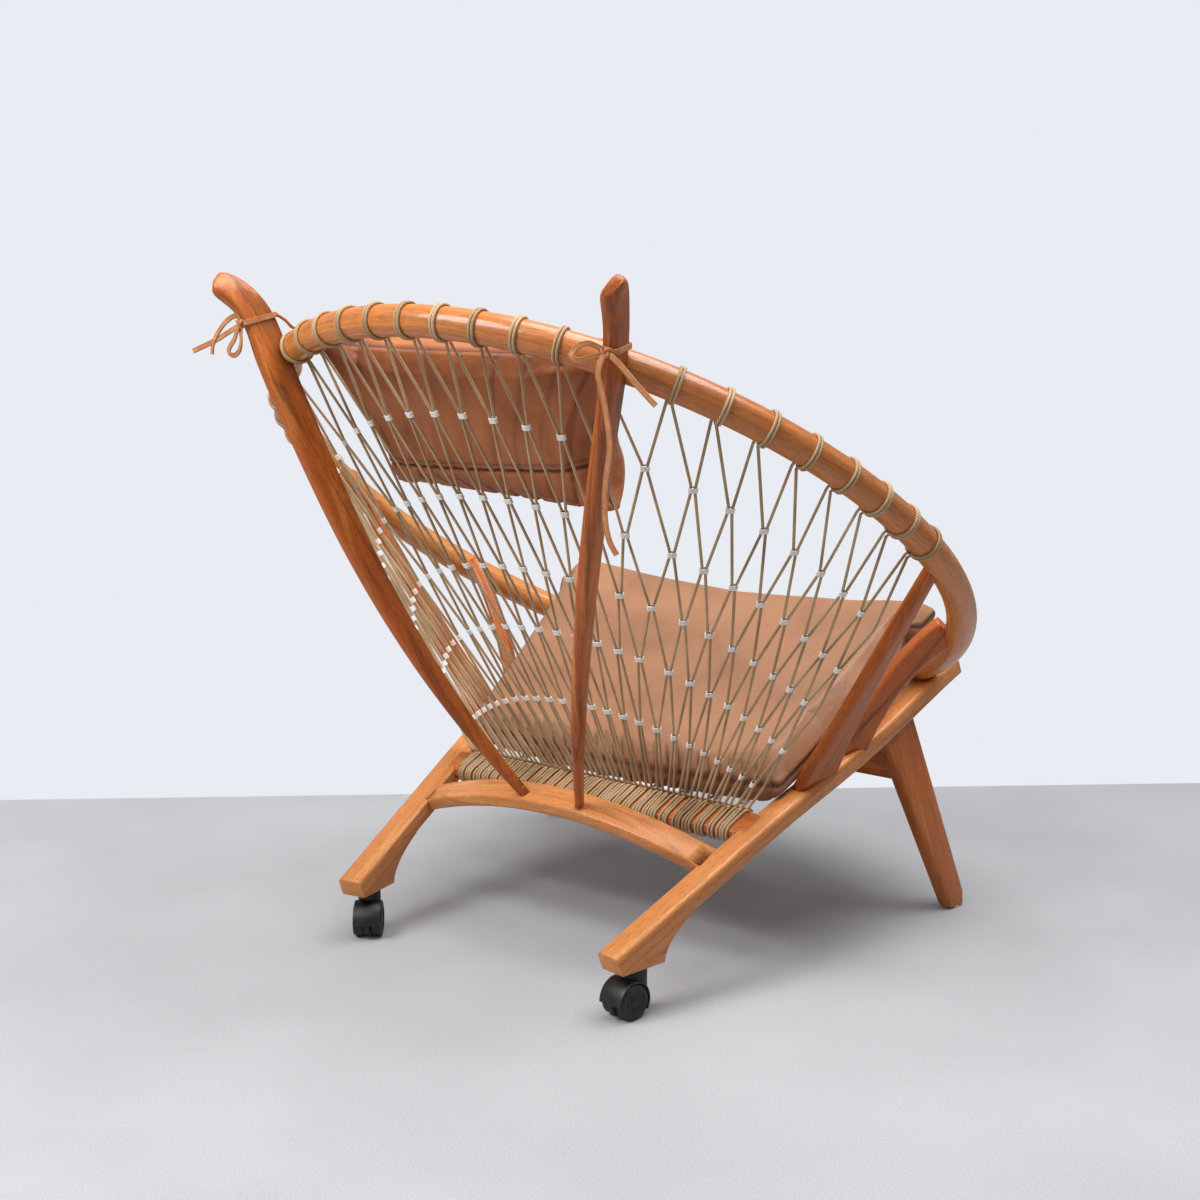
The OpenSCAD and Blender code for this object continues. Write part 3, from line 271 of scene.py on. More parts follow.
def wood(name, tones, along=None, across=(0, 0, 1), seed=0.0, figure=0.5, streaks=0.35, gloss=0.2):
    """Oiled wood with long fibres, growth rings, dark streaks and open pores."""
    f = Finish(name, Roughness=0.38, Coat_Weight=gloss, Coat_Roughness=0.16, Specular_IOR_Level=0.25)
    grain = grain_round(f) if along is None else grain_straight(f, along, across)
    grain = f.mapped(grain, move=(seed * 0.37, seed * 0.11, seed * 0.07))
    broad = f.noise(f.mapped(grain, (1.6, 17, 17)), 1, 3, 0.5, 0.3)
    rings = f.noise(f.mapped(grain, (1.3, 95, 34)), 1, 4, 0.55, 0.9)
    fibre = f.noise(f.mapped(grain, (14, 620, 620)), 1, 3, 0.6)
    pores = f.noise(f.mapped(grain, (60, 1500, 1500)), 1, 1, 0.5)
    value = f.plus(f.times(broad, 1 - figure), f.times(rings, figure))
    dark, middle, light = tones
    colour = f.ramp(value, (dark, middle, middle, light), 0.34, 0.46, 0.54, 0.68)
    streak = f.noise(f.mapped(grain, (0.9, 48, 34), move=(3, 7, 1)), 1, 2, 0.4, 1.4)
    colour = f.blend(f.step(streak, 0.53, 0.62, 0, streaks), colour, rgb(dark))
    colour = f.blend(f.step(fibre, 0.35, 0.75, 0, 0.25), colour, rgb(light))
    colour = f.blend(f.step(pores, 0.56, 0.68, 0, 0.55), colour, rgb(PORE_COLOUR))
    f.set("Base Color", colour)
    f.set("Roughness", f.step(broad, 0.3, 0.7, 0.31, 0.43))
    relief = f.math("SUBTRACT", f.times(fibre, 0.5), f.step(pores, 0.60, 0.72))
    f.set("Normal", f.bump(relief, 0.00012))
    return f.material


LEATHER_CELL = 0.0016
LEATHER_WORN = 0.25


def leather(name, tones, fold, patch):
    """Drum-dyed leather: soft colour patches, fine cells, and painted shade where the mesh marks
    creases.
    """
    f = Finish(name, Roughness=0.47, Specular_IOR_Level=0.42, Sheen_Weight=0.12, Sheen_Roughness=0.5)
    patches = f.noise(f.place, patch, 3, 0.5, 0.4)
    mottle = f.noise(f.place, 160, 3, 0.6)
    dark, _, light = tones
    colour = f.ramp(patches, tones, 0.2, 0.5, 0.8)
    colour = f.blend(f.step(mottle, 0.35, 0.7, 0, LEATHER_WORN), colour, rgb(light))
    crease = f.add("ShaderNodeAttribute", attribute_name="crease").outputs["Fac"]
    # Painted shade: darker towards the fold colour wherever the mesh marks a crease, fold or seam
    colour = f.blend(f.times(crease, 0.85), colour, rgb(fold))
    cells = f.cells(f.place, 1 / LEATHER_CELL)
    small = f.cells(f.place, 2.6 / LEATHER_CELL)
    lines = f.noise(f.place, 45, 4, 0.65, 1.2)
    relief = f.plus(f.times(cells, 0.5), f.times(small, 0.25))
    f.set("Base Color", f.blend(f.step(cells, 0.1, 0.55, 0.10, 0), colour, rgb(dark)))
    f.set("Roughness", f.step(mottle, 0.3, 0.7, 0.42, 0.54))
    f.set("Normal", f.bump(relief, 0.00022, f.bump(lines, 0.0012)))
    return f.material


def cord_finish(name, tones):
    """Three-ply paper cord; its UV is the length along it and the share round it."""
    f = Finish(name, Roughness=0.62, Specular_IOR_Level=0.35, Sheen_Weight=0.1)
    part = f.add("ShaderNodeSeparateXYZ", {0: f.coords["UV"]}).outputs
    phase = f.plus(f.times(part[1], 3.0), f.times(part[0], 3 / CORD_LAY))
    ply = f.math("ABSOLUTE", f.math("SINE", f.times(phase, math.pi)))
    stain = f.noise(f.place, 14)
    fibre = f.noise(f.mapped(f.coords["UV"], (900, 26, 1)), 1, 2, 0.6)
    colour = f.ramp(f.plus(f.times(stain, 0.6), f.times(fibre, 0.4)), tones, 0.30, 0.5, 0.72)
    # Painted shade: darker in the grooves between the plies
    f.set("Base Color", f.blend(f.step(ply, 0.0, 0.45, 0.55, 0), colour, rgb(tones[0])))
    f.set("Normal", f.bump(f.plus(ply, f.times(fibre, 0.25)), 0.0004))
    return f.material


def lace_finish(name, tones):
    """Thin split leather whose UV is the length along it and the place across it."""
    f = Finish(name, Roughness=0.6, Specular_IOR_Level=0.35)
    part = f.add("ShaderNodeSeparateXYZ", {0: f.coords["UV"]}).outputs
    colour = f.ramp(f.noise(f.place, 70, 4, 0.6, 0.5), tones, 0.3, 0.5, 0.7)
    row = f.math("ABSOLUTE", f.math("SUBTRACT", f.math("ABSOLUTE", part[1]), 0.62))
    holes = f.times(f.math("LESS_THAN", row, 0.14),
                    f.math("GREATER_THAN", f.math("SINE", f.times(part[0], 2600.0)), 0.1))
    edge = f.step(f.math("ABSOLUTE", part[1]), 0.78, 1.0, 0, 0.5)
    # Painted shade: the rows of stitch holes, which are not cut, are darkened
    colour = f.blend(f.times(holes, 0.45), colour, rgb(HOLE_SHADE))
    f.set("Base Color", f.blend(edge, colour, rgb(tones[0])))
    relief = f.math("SUBTRACT", f.noise(f.place, 900, 3, 0.6), holes)
    f.set("Normal", f.bump(relief, 0.0003))
    return f.material


def plastic(name, colour, worn, rough, dust_scale=60, glow=0.0):
    """Moulded plastic with scuffs and dust."""
    f = Finish(name, Roughness=rough, Specular_IOR_Level=0.5, Subsurface_Weight=glow,
               Subsurface_Radius=(0.004, 0.004, 0.004), Subsurface_Scale=0.5)
    dust = f.noise(f.place, dust_scale, 5, 0.65, 0.3)
    fine = f.noise(f.place, 1400, 2, 0.5)
    f.set("Base Color", f.blend(f.step(dust, 0.48, 0.72), rgb(colour), rgb(worn)))
    f.set("Roughness", f.step(dust, 0.35, 0.7, rough - 0.08, rough + 0.2))
    f.set("Normal", f.bump(fine, 0.00012))
    return f.material


def steel(name):
    """Zinc-plated steel with fine turning marks."""
    f = Finish(name, Metallic=1.0, Roughness=0.34)
    tarnish = f.noise(f.place, 90, 4, 0.6)
    f.set("Base Color", f.ramp(tarnish, STEEL_TONES, 0.3, 0.7))
    f.set("Roughness", f.step(tarnish, 0.3, 0.7, 0.26, 0.46))
    f.set("Normal", f.bump(f.noise(f.mapped(f.place, (40, 40, 2400)), 1, 2, 0.5), 0.00003))
    return f.material


CORD = cord_finish("net_cord", CORD_TONES)
CLIP = plastic("clip_plastic", "#e3e1dc", "#c9c5bb", 0.5, 240, 0.15)
SEAT_LEATHER = leather("seat_leather", SEAT_TONES, SEAT_FOLD_SHADE, 9.0)
NECK_LEATHER = leather("neck_leather", NECK_TONES, NECK_FOLD_SHADE, 11.0)
LACE = lace_finish("lace_leather", LACE_TONES)
BLACK = plastic("caster_plastic", "#060607", "#1c1b1a", 0.45, 45)
GLIDE = plastic("glide_plastic", "#dcdad2", "#a7a196", 0.5, 90)
STEEL = steel("plated_steel")


# Pieces
def new_mesh(name, points, faces):
    mesh = bpy.data.meshes.new(name)
    mesh.from_pydata([tuple(p) for p in points], [], faces)
    return mesh


def link(name, mesh, material, body, stands_for):
    """A new piece that rides on a body and stands for CAD nodes."""
    piece = bpy.data.objects.new(name, mesh)
    scene.collection.objects.link(piece)
    mesh.materials.clear()
    mesh.materials.append(material)
    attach(piece, body)
    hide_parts(*stands_for)
    return piece


def soften(mesh, sharp):
    """Smooth shading, with edges kept where the faces meet at more than sharp degrees."""
    mesh.shade_smooth()
    mesh.set_sharp_from_angle(angle=math.radians(sharp))


def carved(node, material, name, body="frame", slot="wood", bevel=0.0012, sharp=38, rounds=0):
    """A CAD node's own shape, welded, with its hard edges eased and its long curves rounded."""
    bm = bmesh.new()
    bm.from_mesh(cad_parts[node].data)
    bmesh.ops.remove_doubles(bm, verts=bm.verts, dist=1e-5)
    if rounds:
        bmesh.ops.join_triangles(bm, faces=bm.faces, angle_face_threshold=math.radians(35),
                                 angle_shape_threshold=math.radians(70))
        crease = bm.edges.layers.float.new("crease_edge")
        for edge in bm.edges:
            if edge.is_manifold and edge.calc_face_angle() > math.radians(55):
                edge[crease] = 1.0
    else:
        bmesh.ops.dissolve_limit(bm, angle_limit=math.radians(0.4), verts=bm.verts, edges=bm.edges)
    mesh = bpy.data.meshes.new(name)
    bm.to_mesh(mesh)
    bm.free()
    piece = link(name, mesh, material, body, [node])
    if rounds:
        smooth = piece.modifiers.new("smooth", "SUBSURF")
        smooth.levels = rounds
    if bevel:
        ease = piece.modifiers.new("ease", "BEVEL")
        ease.width = bevel
        ease.segments = 2
        ease.limit_method = "ANGLE"
        ease.angle_limit = math.radians(62)
    if bevel or rounds:
        mesh = applied(piece)
    soften(mesh, sharp)
    return piece


def applied(piece):
    """Applies a piece's modifiers and returns its new mesh."""
    bpy.context.view_layer.update()
    depsgraph = bpy.context.evaluated_depsgraph_get()
    mesh = bpy.data.meshes.new_from_object(piece.evaluated_get(depsgraph))
    piece.modifiers.clear()
    piece.data = mesh
    return mesh


class Strands:
    """Tubes and strips that share one mesh, with their length and girth as UV."""

    def __init__(self):
        self.points = []
        self.faces = []
        self.uvs = []

    def sweep(self, path, section, hint=None, closed=False):
        """Sweeps a ring of (wide, deep, v) places along path; hint(t) is the wide direction."""
        path = [np.array(p, float) for p in path]
        count, sides = len(path), len(section)
        first = len(self.points)
        wide, length = None, 0.0
        lengths = []
        for i, p in enumerate(path):
            before = path[i - 1] if i or closed else p
            after = path[(i + 1) % count] if i < count - 1 or closed else p
            t = unit(after - before)
            if hint is not None:
                wide = hint(t)
            elif wide is None:
                wide = np.cross(t, (0.3, 0.5, 0.8))
            wide = unit(wide - t * np.dot(wide, t))
            deep = np.cross(t, wide)
            length += np.linalg.norm(p - before) if i else 0.0
            lengths.append(length)
            self.points.extend(p + wide * w + deep * d for w, d, _ in section)
        lengths.append(length + np.linalg.norm(path[0] - path[-1]))
        for i in range(count if closed else count - 1):
            for j in range(sides):
                k = (j + 1) % sides
                low, high = first + i * sides, first + (i + 1) % count * sides
                self.faces.append((low + j, low + k, high + k, high + j))
                v, next_v = section[j][2], section[k][2] if k else 2 * section[-1][2] - section[-2][2]
                a, b = lengths[i], lengths[i + 1]
                self.uvs.extend([(a, v), (a, next_v), (b, next_v), (b, v)])
        if not closed:
            last = first + (count - 1) * sides
            self.faces.append(tuple(first + j for j in reversed(range(sides))))
            self.faces.append(tuple(last + j for j in range(sides)))
            self.uvs.extend([(0, 0)] * (2 * sides))

    def tube(self, path, radius, **options):
        self.sweep(path, [(radius * math.cos(q), radius * math.sin(q), j / CORD_SIDES)
                          for j in range(CORD_SIDES) for q in [math.tau * j / CORD_SIDES]], **options)

    def strip(self, path, width, depth, hint, **options):
        """A flat strip with rounded edges; v runs from -1 to 1 across it."""
        w, d, e = width / 2, depth / 2, 0.35
        ring = [(w, -d * e), (w, d * e), (w * 0.9, d), (0, d * 1.05), (-w * 0.9, d), (-w, d * e),
                (-w, -d * e), (-w * 0.9, -d), (0, -d * 1.05), (w * 0.9, -d)]
        self.sweep(path, [(a, b, a / w) for a, b in ring], hint, **options)

    def piece(self, name, material, nodes, slot="cord"):
        """Makes one piece of the frame from all that was swept."""
        mesh = new_mesh(name, self.points, self.faces)
        layer = mesh.uv_layers.new(name="UVMap")
        layer.data.foreach_set("uv", np.array(self.uvs, np.float32).ravel())
        mesh.validate()
        soften(mesh, 60)
        link(name, mesh, material, "frame", nodes)


def eased(points):
    """A cord's path through points, with its corners rounded over CORD_BEND on either side."""
    points = [np.array(p, float) for p in points]
    path = [points[0]]
    for a, b, c in zip(points, points[1:], points[2:]):
        near = b + unit(a - b) * min(CORD_BEND, np.linalg.norm(a - b) / 2)
        far = b + unit(c - b) * min(CORD_BEND, np.linalg.norm(c - b) / 2)
        for k in range(BEND_STEPS + 1):
            t = k / BEND_STEPS
            path.append(mix(mix(near, b, t), mix(b, far, t), t))
    return path + [points[-1]]


def curve(points):
    """A smooth curve through points."""
    p = [np.array(q, float) for q in points]
    path = []
    for i in range(len(p) - 1):
        a, b, c, d = p[max(i - 1, 0)], p[i], p[i + 1], p[min(i + 2, len(p) - 1)]
        for j in range(CURVE_STEPS):
            t = j / CURVE_STEPS
            path.append(0.5 * (2 * b + (c - a) * t + (2 * a - 5 * b + 4 * c - d) * t ** 2
                               + (3 * b - a - 3 * c + d) * t ** 3))
    return path + [p[-1]]


# The hoop's line, and the wooden pieces
def hoop_at(t):
    q = math.radians(t)
    return vec(HOOP_R * math.cos(q), HOOP_R * math.sin(q) * math.cos(HOOP_TILT),
               HOOP_H + HOOP_R * math.sin(q) * math.sin(HOOP_TILT))


def hoop_dir(t):
    q = math.radians(t)
    return vec(-math.sin(q), math.cos(q) * math.cos(HOOP_TILT), math.cos(q) * math.sin(HOOP_TILT))


def span_of(node):
    low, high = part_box(node)
    return np.array(low), np.array(high)


# Node, piece, material, tones, grain on the left side, the way across it, seed, figure and shaping
CURVED = {"bevel": 0, "sharp": 50, "rounds": 2}
SIDE_PIECES = (
    ("side_rail", "rail", "rail_wood", RAIL_TONES, (0.17, -0.93, 0.38), (0, 0.38, 0.93), 0, {}, {}),
    ("foot_block", "heel_block", "block_wood", RAIL_TONES, (0.17, -0.97, 0.2), (1, 0, 0), 4, {}, {}),
    ("front_leg", "leg", "leg_wood", WOOD_TONES, (0.1, -0.25, -1), (0, 1, 0), 8, {}, {"bevel": 0.002}),
    ("back_upright", "upright", "upright_wood", DARK_TONES, (0.3, 0.4, 1), (1, 0, 0), 12,
     {"figure": 0.65, "streaks": 0.6}, CURVED),
    ("hoop_strut", "strut", "strut_wood", DARK_TONES, (0.45, 0.12, 0.8), (0, 1, 0), 16,
     {"figure": 0.6}, CURVED),
    ("seat_brace", "brace", "brace_wood", DARK_TONES, (0.55, -0.2, 0.75), (0, 0, 1), 20, {}, CURVED))

carved("hoop", wood("hoop_wood", HOOP_TONES, seed=2.0, streaks=0.4, gloss=0.5), "hoop_bar", bevel=0)
for side, sign in (("left", 1), ("right", -1)):
    seed = 3.0 + sign
    for node, name, timber, tones, (x, y, z), across, more, figure, shaping in SIDE_PIECES:
        material = wood(f"{timber}_{side}", tones, (sign * x, y, z), across, seed + more, **figure)
        carved(f"{node}_{side}", material, f"{name}_{side}", **shaping)
carved("front_apron", wood("apron_wood", DARK_TONES, (1, 0, 0), (0, 1, 0), 30), "apron")
carved("rear_stretcher", wood("stretcher_wood", RAIL_TONES, (1, 0, 0), (0, 1, 0), 31, 0.6),
       "stretcher", bevel=0)
carved("seat_back_rail", wood("seat_rail_wood", WOOD_TONES, (1, 0, 0), (0, 0, 1), 32), "cross_rail",
       bevel=0)

# Casters and glides
for side in ("left", "right"):
    swivel = f"swivel_{side}"
    carved(f"caster_hood_{side}", BLACK, f"hood_{side}", swivel, "black", 0.0016, 45)
    carved(f"caster_stem_{side}", STEEL, f"stem_{side}", swivel, "steel", 0.0006)
    carved(f"caster_axle_{side}", STEEL, f"axle_{side}", swivel, "steel", 0.0006)
    carved(f"caster_socket_{side}", STEEL, f"sleeve_{side}", "frame", "steel", 0.0004)
    for place in ("inner", "outer"):
        body = f"wheel_{place}_{side}"
        carved(body, BLACK, f"tyre_{place}_{side}", body, "black", 0.0008, 45)
    carved(f"glide_{side}", GLIDE, f"foot_glide_{side}", "frame", "clip", 0.0006)

# Fasteners stay as the CAD nodes that they are
DOWEL = wood("dowel_wood", WOOD_TONES, (0, 0, 1), (1, 0, 0), 40)
FASTENERS = (
    (STEEL, ("hoop_screws", "strut_screws", "upright_screws")),
    (DOWEL, ("strut_dowels", "upright_dowels", "stretcher_dowels", "seat_rail_dowels", "leg_dowels",
             "apron_dowels")))
for material, nodes in FASTENERS:
    for node in nodes:
        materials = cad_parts[node].data.materials
        materials.clear()
        materials.append(material)

# The seat back rail's own directions
low, high = span_of("seat_back_rail")
SEAT_RAIL_MID = (low + high) / 2
SLOPE_FWD = vec(0, -math.cos(RAIL_SLOPE), math.sin(RAIL_SLOPE))
SLOPE_UP = vec(0, math.sin(RAIL_SLOPE), math.cos(RAIL_SLOPE))


def seat_rail_at(x, fwd, up):
    return SEAT_RAIL_MID + vec(x, 0, 0) + SLOPE_FWD * fwd + SLOPE_UP * up


# Back net: one double cord from each lashing on the hoop, in lanes
INNER_LANES = 11
INNER_REACH = 30.5
OUTER_LANES = 8
outer_t = [40.6 + 6.85 * k - 0.055 * k * k for k in range(OUTER_LANES)]
lane_t = ([90 - t for t in reversed(outer_t)]
          + [90 - INNER_REACH + 2 * INNER_REACH * k / (INNER_LANES - 1) for k in range(INNER_LANES)]
          + [90 + t for t in outer_t])
LANES = len(lane_t)
NET_SPAN = SEAT_RAIL_X - 0.012
LASH_R = HOOP_BAR / 2 + CORD_D / 2
LASH_PITCH = CORD_D + 0.0004
ROW_MID = (0.145, 0.32, 0.475, 0.62, 0.80)
ROW_RISE = (0.09, 0.10, 0.10, 0.13, 0.11)
ROWS = len(ROW_MID)
EDGE_REACH = 0.33
LANE_HEAD = 0.0309


def lane_foot(i):
    return seat_rail_at(NET_SPAN * (1 - 2 * i / (LANES - 1)), SEAT_RAIL_W / 2 - 0.007,
                        SEAT_RAIL_T / 2 + 1.5 * CORD_D)


def lane_to(i):
    return unit(lane_foot(i) - hoop_at(lane_t[i]))


def lane_down(i):
    h = hoop_dir(lane_t[i])
    return unit(lane_to(i) - h * np.dot(lane_to(i), h))


def lane_at(i, f):
    return mix(hoop_at(lane_t[i]) + lane_to(i) * LANE_HEAD, lane_foot(i), f)


def row_at(i, r):
    """The middle of lane i where it meets row r."""
    off = (i - (LANES - 1) / 2) / ((LANES - 1) / 2)
    return lane_at(i, ROW_MID[r] + ROW_RISE[r] * off ** 2)


def halfway(i, side, r):
    """Where a cord of lane i lies at row r, next to a cord of the lane beside it."""
    n = i + side
    here = row_at(i, r)
    if 0 <= n < LANES:
        other = row_at(n, r)
        return here + unit(other - here) * (np.linalg.norm(other - here) / 2 - CORD_APART / 2)
    return here + (here - row_at(i - side, r)) * EDGE_REACH


def beside(i, side, r):
    return row_at(i, r) + hoop_dir(lane_t[i]) * (side * CORD_APART / 2)


def net_cord(i, side):
    """From the lashing down to the seat back rail, and over its front edge."""
    h = hoop_dir(lane_t[i])
    foot = lane_foot(i) - vec(side * NET_SPAN / (LANES - 1) / 2, 0, 0)
    path = [hoop_at(lane_t[i]) + lane_down(i) * (LASH_R + 0.006) + h * (side * LASH_PITCH * 0.8)]
    path += [halfway(i, side, r) if r % 2 == 0 else beside(i, side, r) for r in range(ROWS)]
    return path + [foot, foot + SLOPE_FWD * 0.007 - SLOPE_UP * 0.0035,
                   foot + SLOPE_FWD * 0.009 - SLOPE_UP * 0.010]


def turns_round(t, toward, turns, steps, along):
    """Turns of cord round the hoop at t, from its side facing toward; along(turn) moves them on."""
    h = hoop_dir(t)
    down = unit(toward - h * np.dot(toward, h))
    across = np.cross(h, down)
    return [hoop_at(t) + (down * math.cos(q) + across * math.sin(q)) * LASH_R + h * along(k / steps)
            for k in range(turns * steps + 1) for q in [math.tau * k / steps]]


def lashing(i):
    """Two turns of the same cord round the hoop."""
    return turns_round(lane_t[i], lane_to(i), 2, 22, lambda turn: LASH_PITCH * (turn - 1))


PANELS = {"left_outer": (0, 5), "left": (6, 10), "centre": (11, 15), "right": (16, 20),
          "right_outer": (21, 26)}
for panel, (first, last) in PANELS.items():
    strands = Strands()
    for i in range(first, last + 1):
        strands.tube(eased(net_cord(i, -1))[::-1] + lashing(i) + eased(net_cord(i, 1)), CORD_D / 2)
    nodes = [f"back_net_{panel}"] + (["hoop_lashings"] if panel == "centre" else [])
    strands.piece(f"net_cords_{panel}", CORD, nodes)


# Net clips: a short flat sleeve with two cords through it
CLIP_W = 0.0125
CLIP_H = 0.0085
CLIP_T = 0.0062
CLIP_WALL = 0.0009
CLIP_SIDES = 20


def clip_ring(w, t):
    """A rounded rectangle w by t."""
    r = t * 0.42
    ring = []
    for k in range(CLIP_SIDES):
        q = math.tau * (k + 0.5) / CLIP_SIDES
        x = math.copysign(w / 2 - r, math.cos(q)) + r * math.cos(q)
        y = math.copysign(t / 2 - r, math.sin(q)) + r * math.sin(q)
        ring.append((x, y))
    return ring


def add_clip(points, faces, at, along):
    """Adds one clip whose sleeve runs along the given direction."""
    v = unit(along)
    az = math.atan2(v[1], v[0])
    wide = vec(-math.sin(az), math.cos(az), 0)
    deep = np.cross(v, wide)
    inner_w, inner_t = CLIP_W - 2 * CLIP_WALL, CLIP_T - 2 * CLIP_WALL
    h = CLIP_H / 2
    profile = [(CLIP_W - 0.0008, CLIP_T - 0.0008, h), (CLIP_W, CLIP_T, h - 0.0004),
               (CLIP_W, CLIP_T, 0.0004 - h), (CLIP_W - 0.0008, CLIP_T - 0.0008, -h),
               (inner_w, inner_t, -h), (inner_w, inner_t, h)]
    first = len(points)
    for w, t, z in profile:
        points.extend(at + wide * x + deep * y + v * z for x, y in clip_ring(w, t))
    count = len(profile)
    for k in range(count):
        a, b = first + k * CLIP_SIDES, first + (k + 1) % count * CLIP_SIDES
        for j in range(CLIP_SIDES):
            n = (j + 1) % CLIP_SIDES
            faces.append((a + j, b + j, b + n, a + n))


def link_clips(name, places, node):
    points, faces = [], []
    for at, along in places:
        add_clip(points, faces, at, along)
    mesh = new_mesh(name, points, faces)
    mesh.validate()
    soften(mesh, 40)
    link(name, mesh, CLIP, "frame", [node])


clip_places = []
for r in range(ROWS):
    if r % 2 == 0:
        for i in range(LANES - 1):
            middle = (halfway(i, 1, r) + halfway(i + 1, -1, r)) / 2
            clip_places.append((middle, lane_to(i) + lane_to(i + 1)))
    else:
        clip_places += [(row_at(i, r), lane_to(i)) for i in range(LANES)]
link_clips("net_clips", clip_places, "back_net_clips")

# Winding on the seat back rail: one cord in close groups of turns, with bare wood between
random.seed(7)
WIND_CORD_D = 0.0044
WIND_A = SEAT_RAIL_W / 2 + WIND_CORD_D / 2
WIND_B = SEAT_RAIL_T / 2 + WIND_CORD_D / 2
WIND_R = SEAT_RAIL_R + WIND_CORD_D / 2
WIND_SPAN = SEAT_RAIL_X - 0.012


def rail_loop(share):
    """A point of the rounded rectangle that the winding follows, at a share of its way round."""
    straight_a, straight_b = 2 * (WIND_A - WIND_R), 2 * (WIND_B - WIND_R)
    bend = WIND_R * math.pi / 2
    legs = [(straight_a, 0), (bend, 1), (straight_b, 0), (bend, 1)] * 2
    left = (share % 1.0) * sum(l for l, _ in legs)
    x, y, heading = -straight_a / 2, WIND_B, 0.0
    for length, turning in legs:
        used = min(left, length)
        if turning:
            turn = used / WIND_R
            cx, cy = x + WIND_R * math.sin(heading), y - WIND_R * math.cos(heading)
            x, y = cx - WIND_R * math.sin(heading - turn), cy + WIND_R * math.cos(heading - turn)
            heading -= turn
        else:
            x, y = x + used * math.cos(heading), y + used * math.sin(heading)
        left -= used
        if left <= 0:
            break
    return x, y


def winding_path():
    """Turns in small groups, a little uneven, with bare wood showing between the groups."""
    steps = 20
    path, x = [], WIND_SPAN
    while x > -WIND_SPAN:
        turns = random.choice((2, 3, 3, 4, 5))
        open_end = 0.5 + 0.5 * (1 - x / WIND_SPAN) / 2
        for turn in range(turns):
            pitch = WIND_CORD_D * random.uniform(1.08, 1.32)
            if turn == turns - 1:
                pitch += random.uniform(0.003, 0.008) * open_end
            lean = random.uniform(-0.0012, 0.0012)
            for k in range(steps):
                a, b = rail_loop(k / steps)
                sway = lean * math.sin(math.tau * k / steps)
                path.append(seat_rail_at(x - pitch * k / steps + sway, a, b))
            x -= pitch
            if x < -WIND_SPAN:
                break
    return path


strands = Strands()
strands.tube(winding_path(), WIND_CORD_D / 2)
strands.piece("rail_wrap", CORD, ["rail_winding"])

# Seat net: a fan of cords from the seat back rail to the hoop's front
SEAT_FAN = 36
SEAT_LANES = 10
SEAT_ROWS = (0.07, 0.5)
SEAT_SPAN = SEAT_RAIL_X - 0.014


def seat_at(u, f):
    foot = seat_rail_at(SEAT_SPAN * u, SEAT_RAIL_W / 2 + 0.0008, 0)
    hold = hoop_at(270 + SEAT_FAN * u)
    head = hold + unit(foot - hold) * (HOOP_BAR / 2 + 0.0008)
    return mix(foot, head, f)


def seat_lashing(u, side):
    """A turn round the hoop's front that one seat cord ends in."""
    t = 270 + SEAT_FAN * u
    return turns_round(t, unit(seat_at(u, 0) - hoop_at(t)), 1, 20,
                       lambda turn: side * (CORD_D * 0.55 + LASH_PITCH * turn))


SEAT_PANELS = {"left": (0, 2), "centre": (3, 6), "right": (7, 9)}
seat_clips = []
for panel, (first, last) in SEAT_PANELS.items():
    strands = Strands()
    for j in range(first, last + 1):
        u = 1 - (2 * j + 1) / SEAT_LANES
        seat_clips.append((seat_at(u, SEAT_ROWS[0]), seat_at(u, 1) - seat_at(u, 0)))
        for side in (-1, 1):
            du = -side / SEAT_LANES / 2
            path = [seat_at(u + du, 0), seat_at(u, SEAT_ROWS[0]) - vec(side * CORD_APART / 2, 0, 0),
                    seat_at(u + du, SEAT_ROWS[1]), seat_at(u, 0.985) - vec(side * CORD_APART / 2, 0, 0)]
            strands.tube(eased(path) + seat_lashing(u, side), CORD_D / 2)
    strands.piece(f"seat_cords_{panel}", CORD, [f"seat_net_{panel}"])
link_clips("seat_clips", seat_clips, "seat_net_clips")


# Cushions
RIM_STEPS = 12


def read(mesh, kind):
    """The place ("co") or the direction ("normal") of each point of a mesh."""
    values = np.zeros(len(mesh.vertices) * 3)
    mesh.vertices.foreach_get(kind, values)
    return values.reshape(-1, 3)


def put_coords(mesh, co):
    mesh.vertices.foreach_set("co", co.ravel())
    mesh.update()


def rim_places(inner, share):
    """Places from -1 to 1 whose two ends, over the given share, follow a quarter circle."""
    q = np.linspace(0, math.pi / 2, RIM_STEPS + 1)[:-1]
    ends = share * (1 - np.cos(q)) - 1
    return np.concatenate([ends, np.linspace(share - 1, 1 - share, inner + 1), -ends[::-1]])


def border(u, share, power=2.0):
    """How full a cushion is at u: 0 on its edge and 1 past its rounded border."""
    q = np.clip((1 - np.abs(u)) / share, 0, 1)
    return (1 - (1 - q) ** power) ** (1 / power)


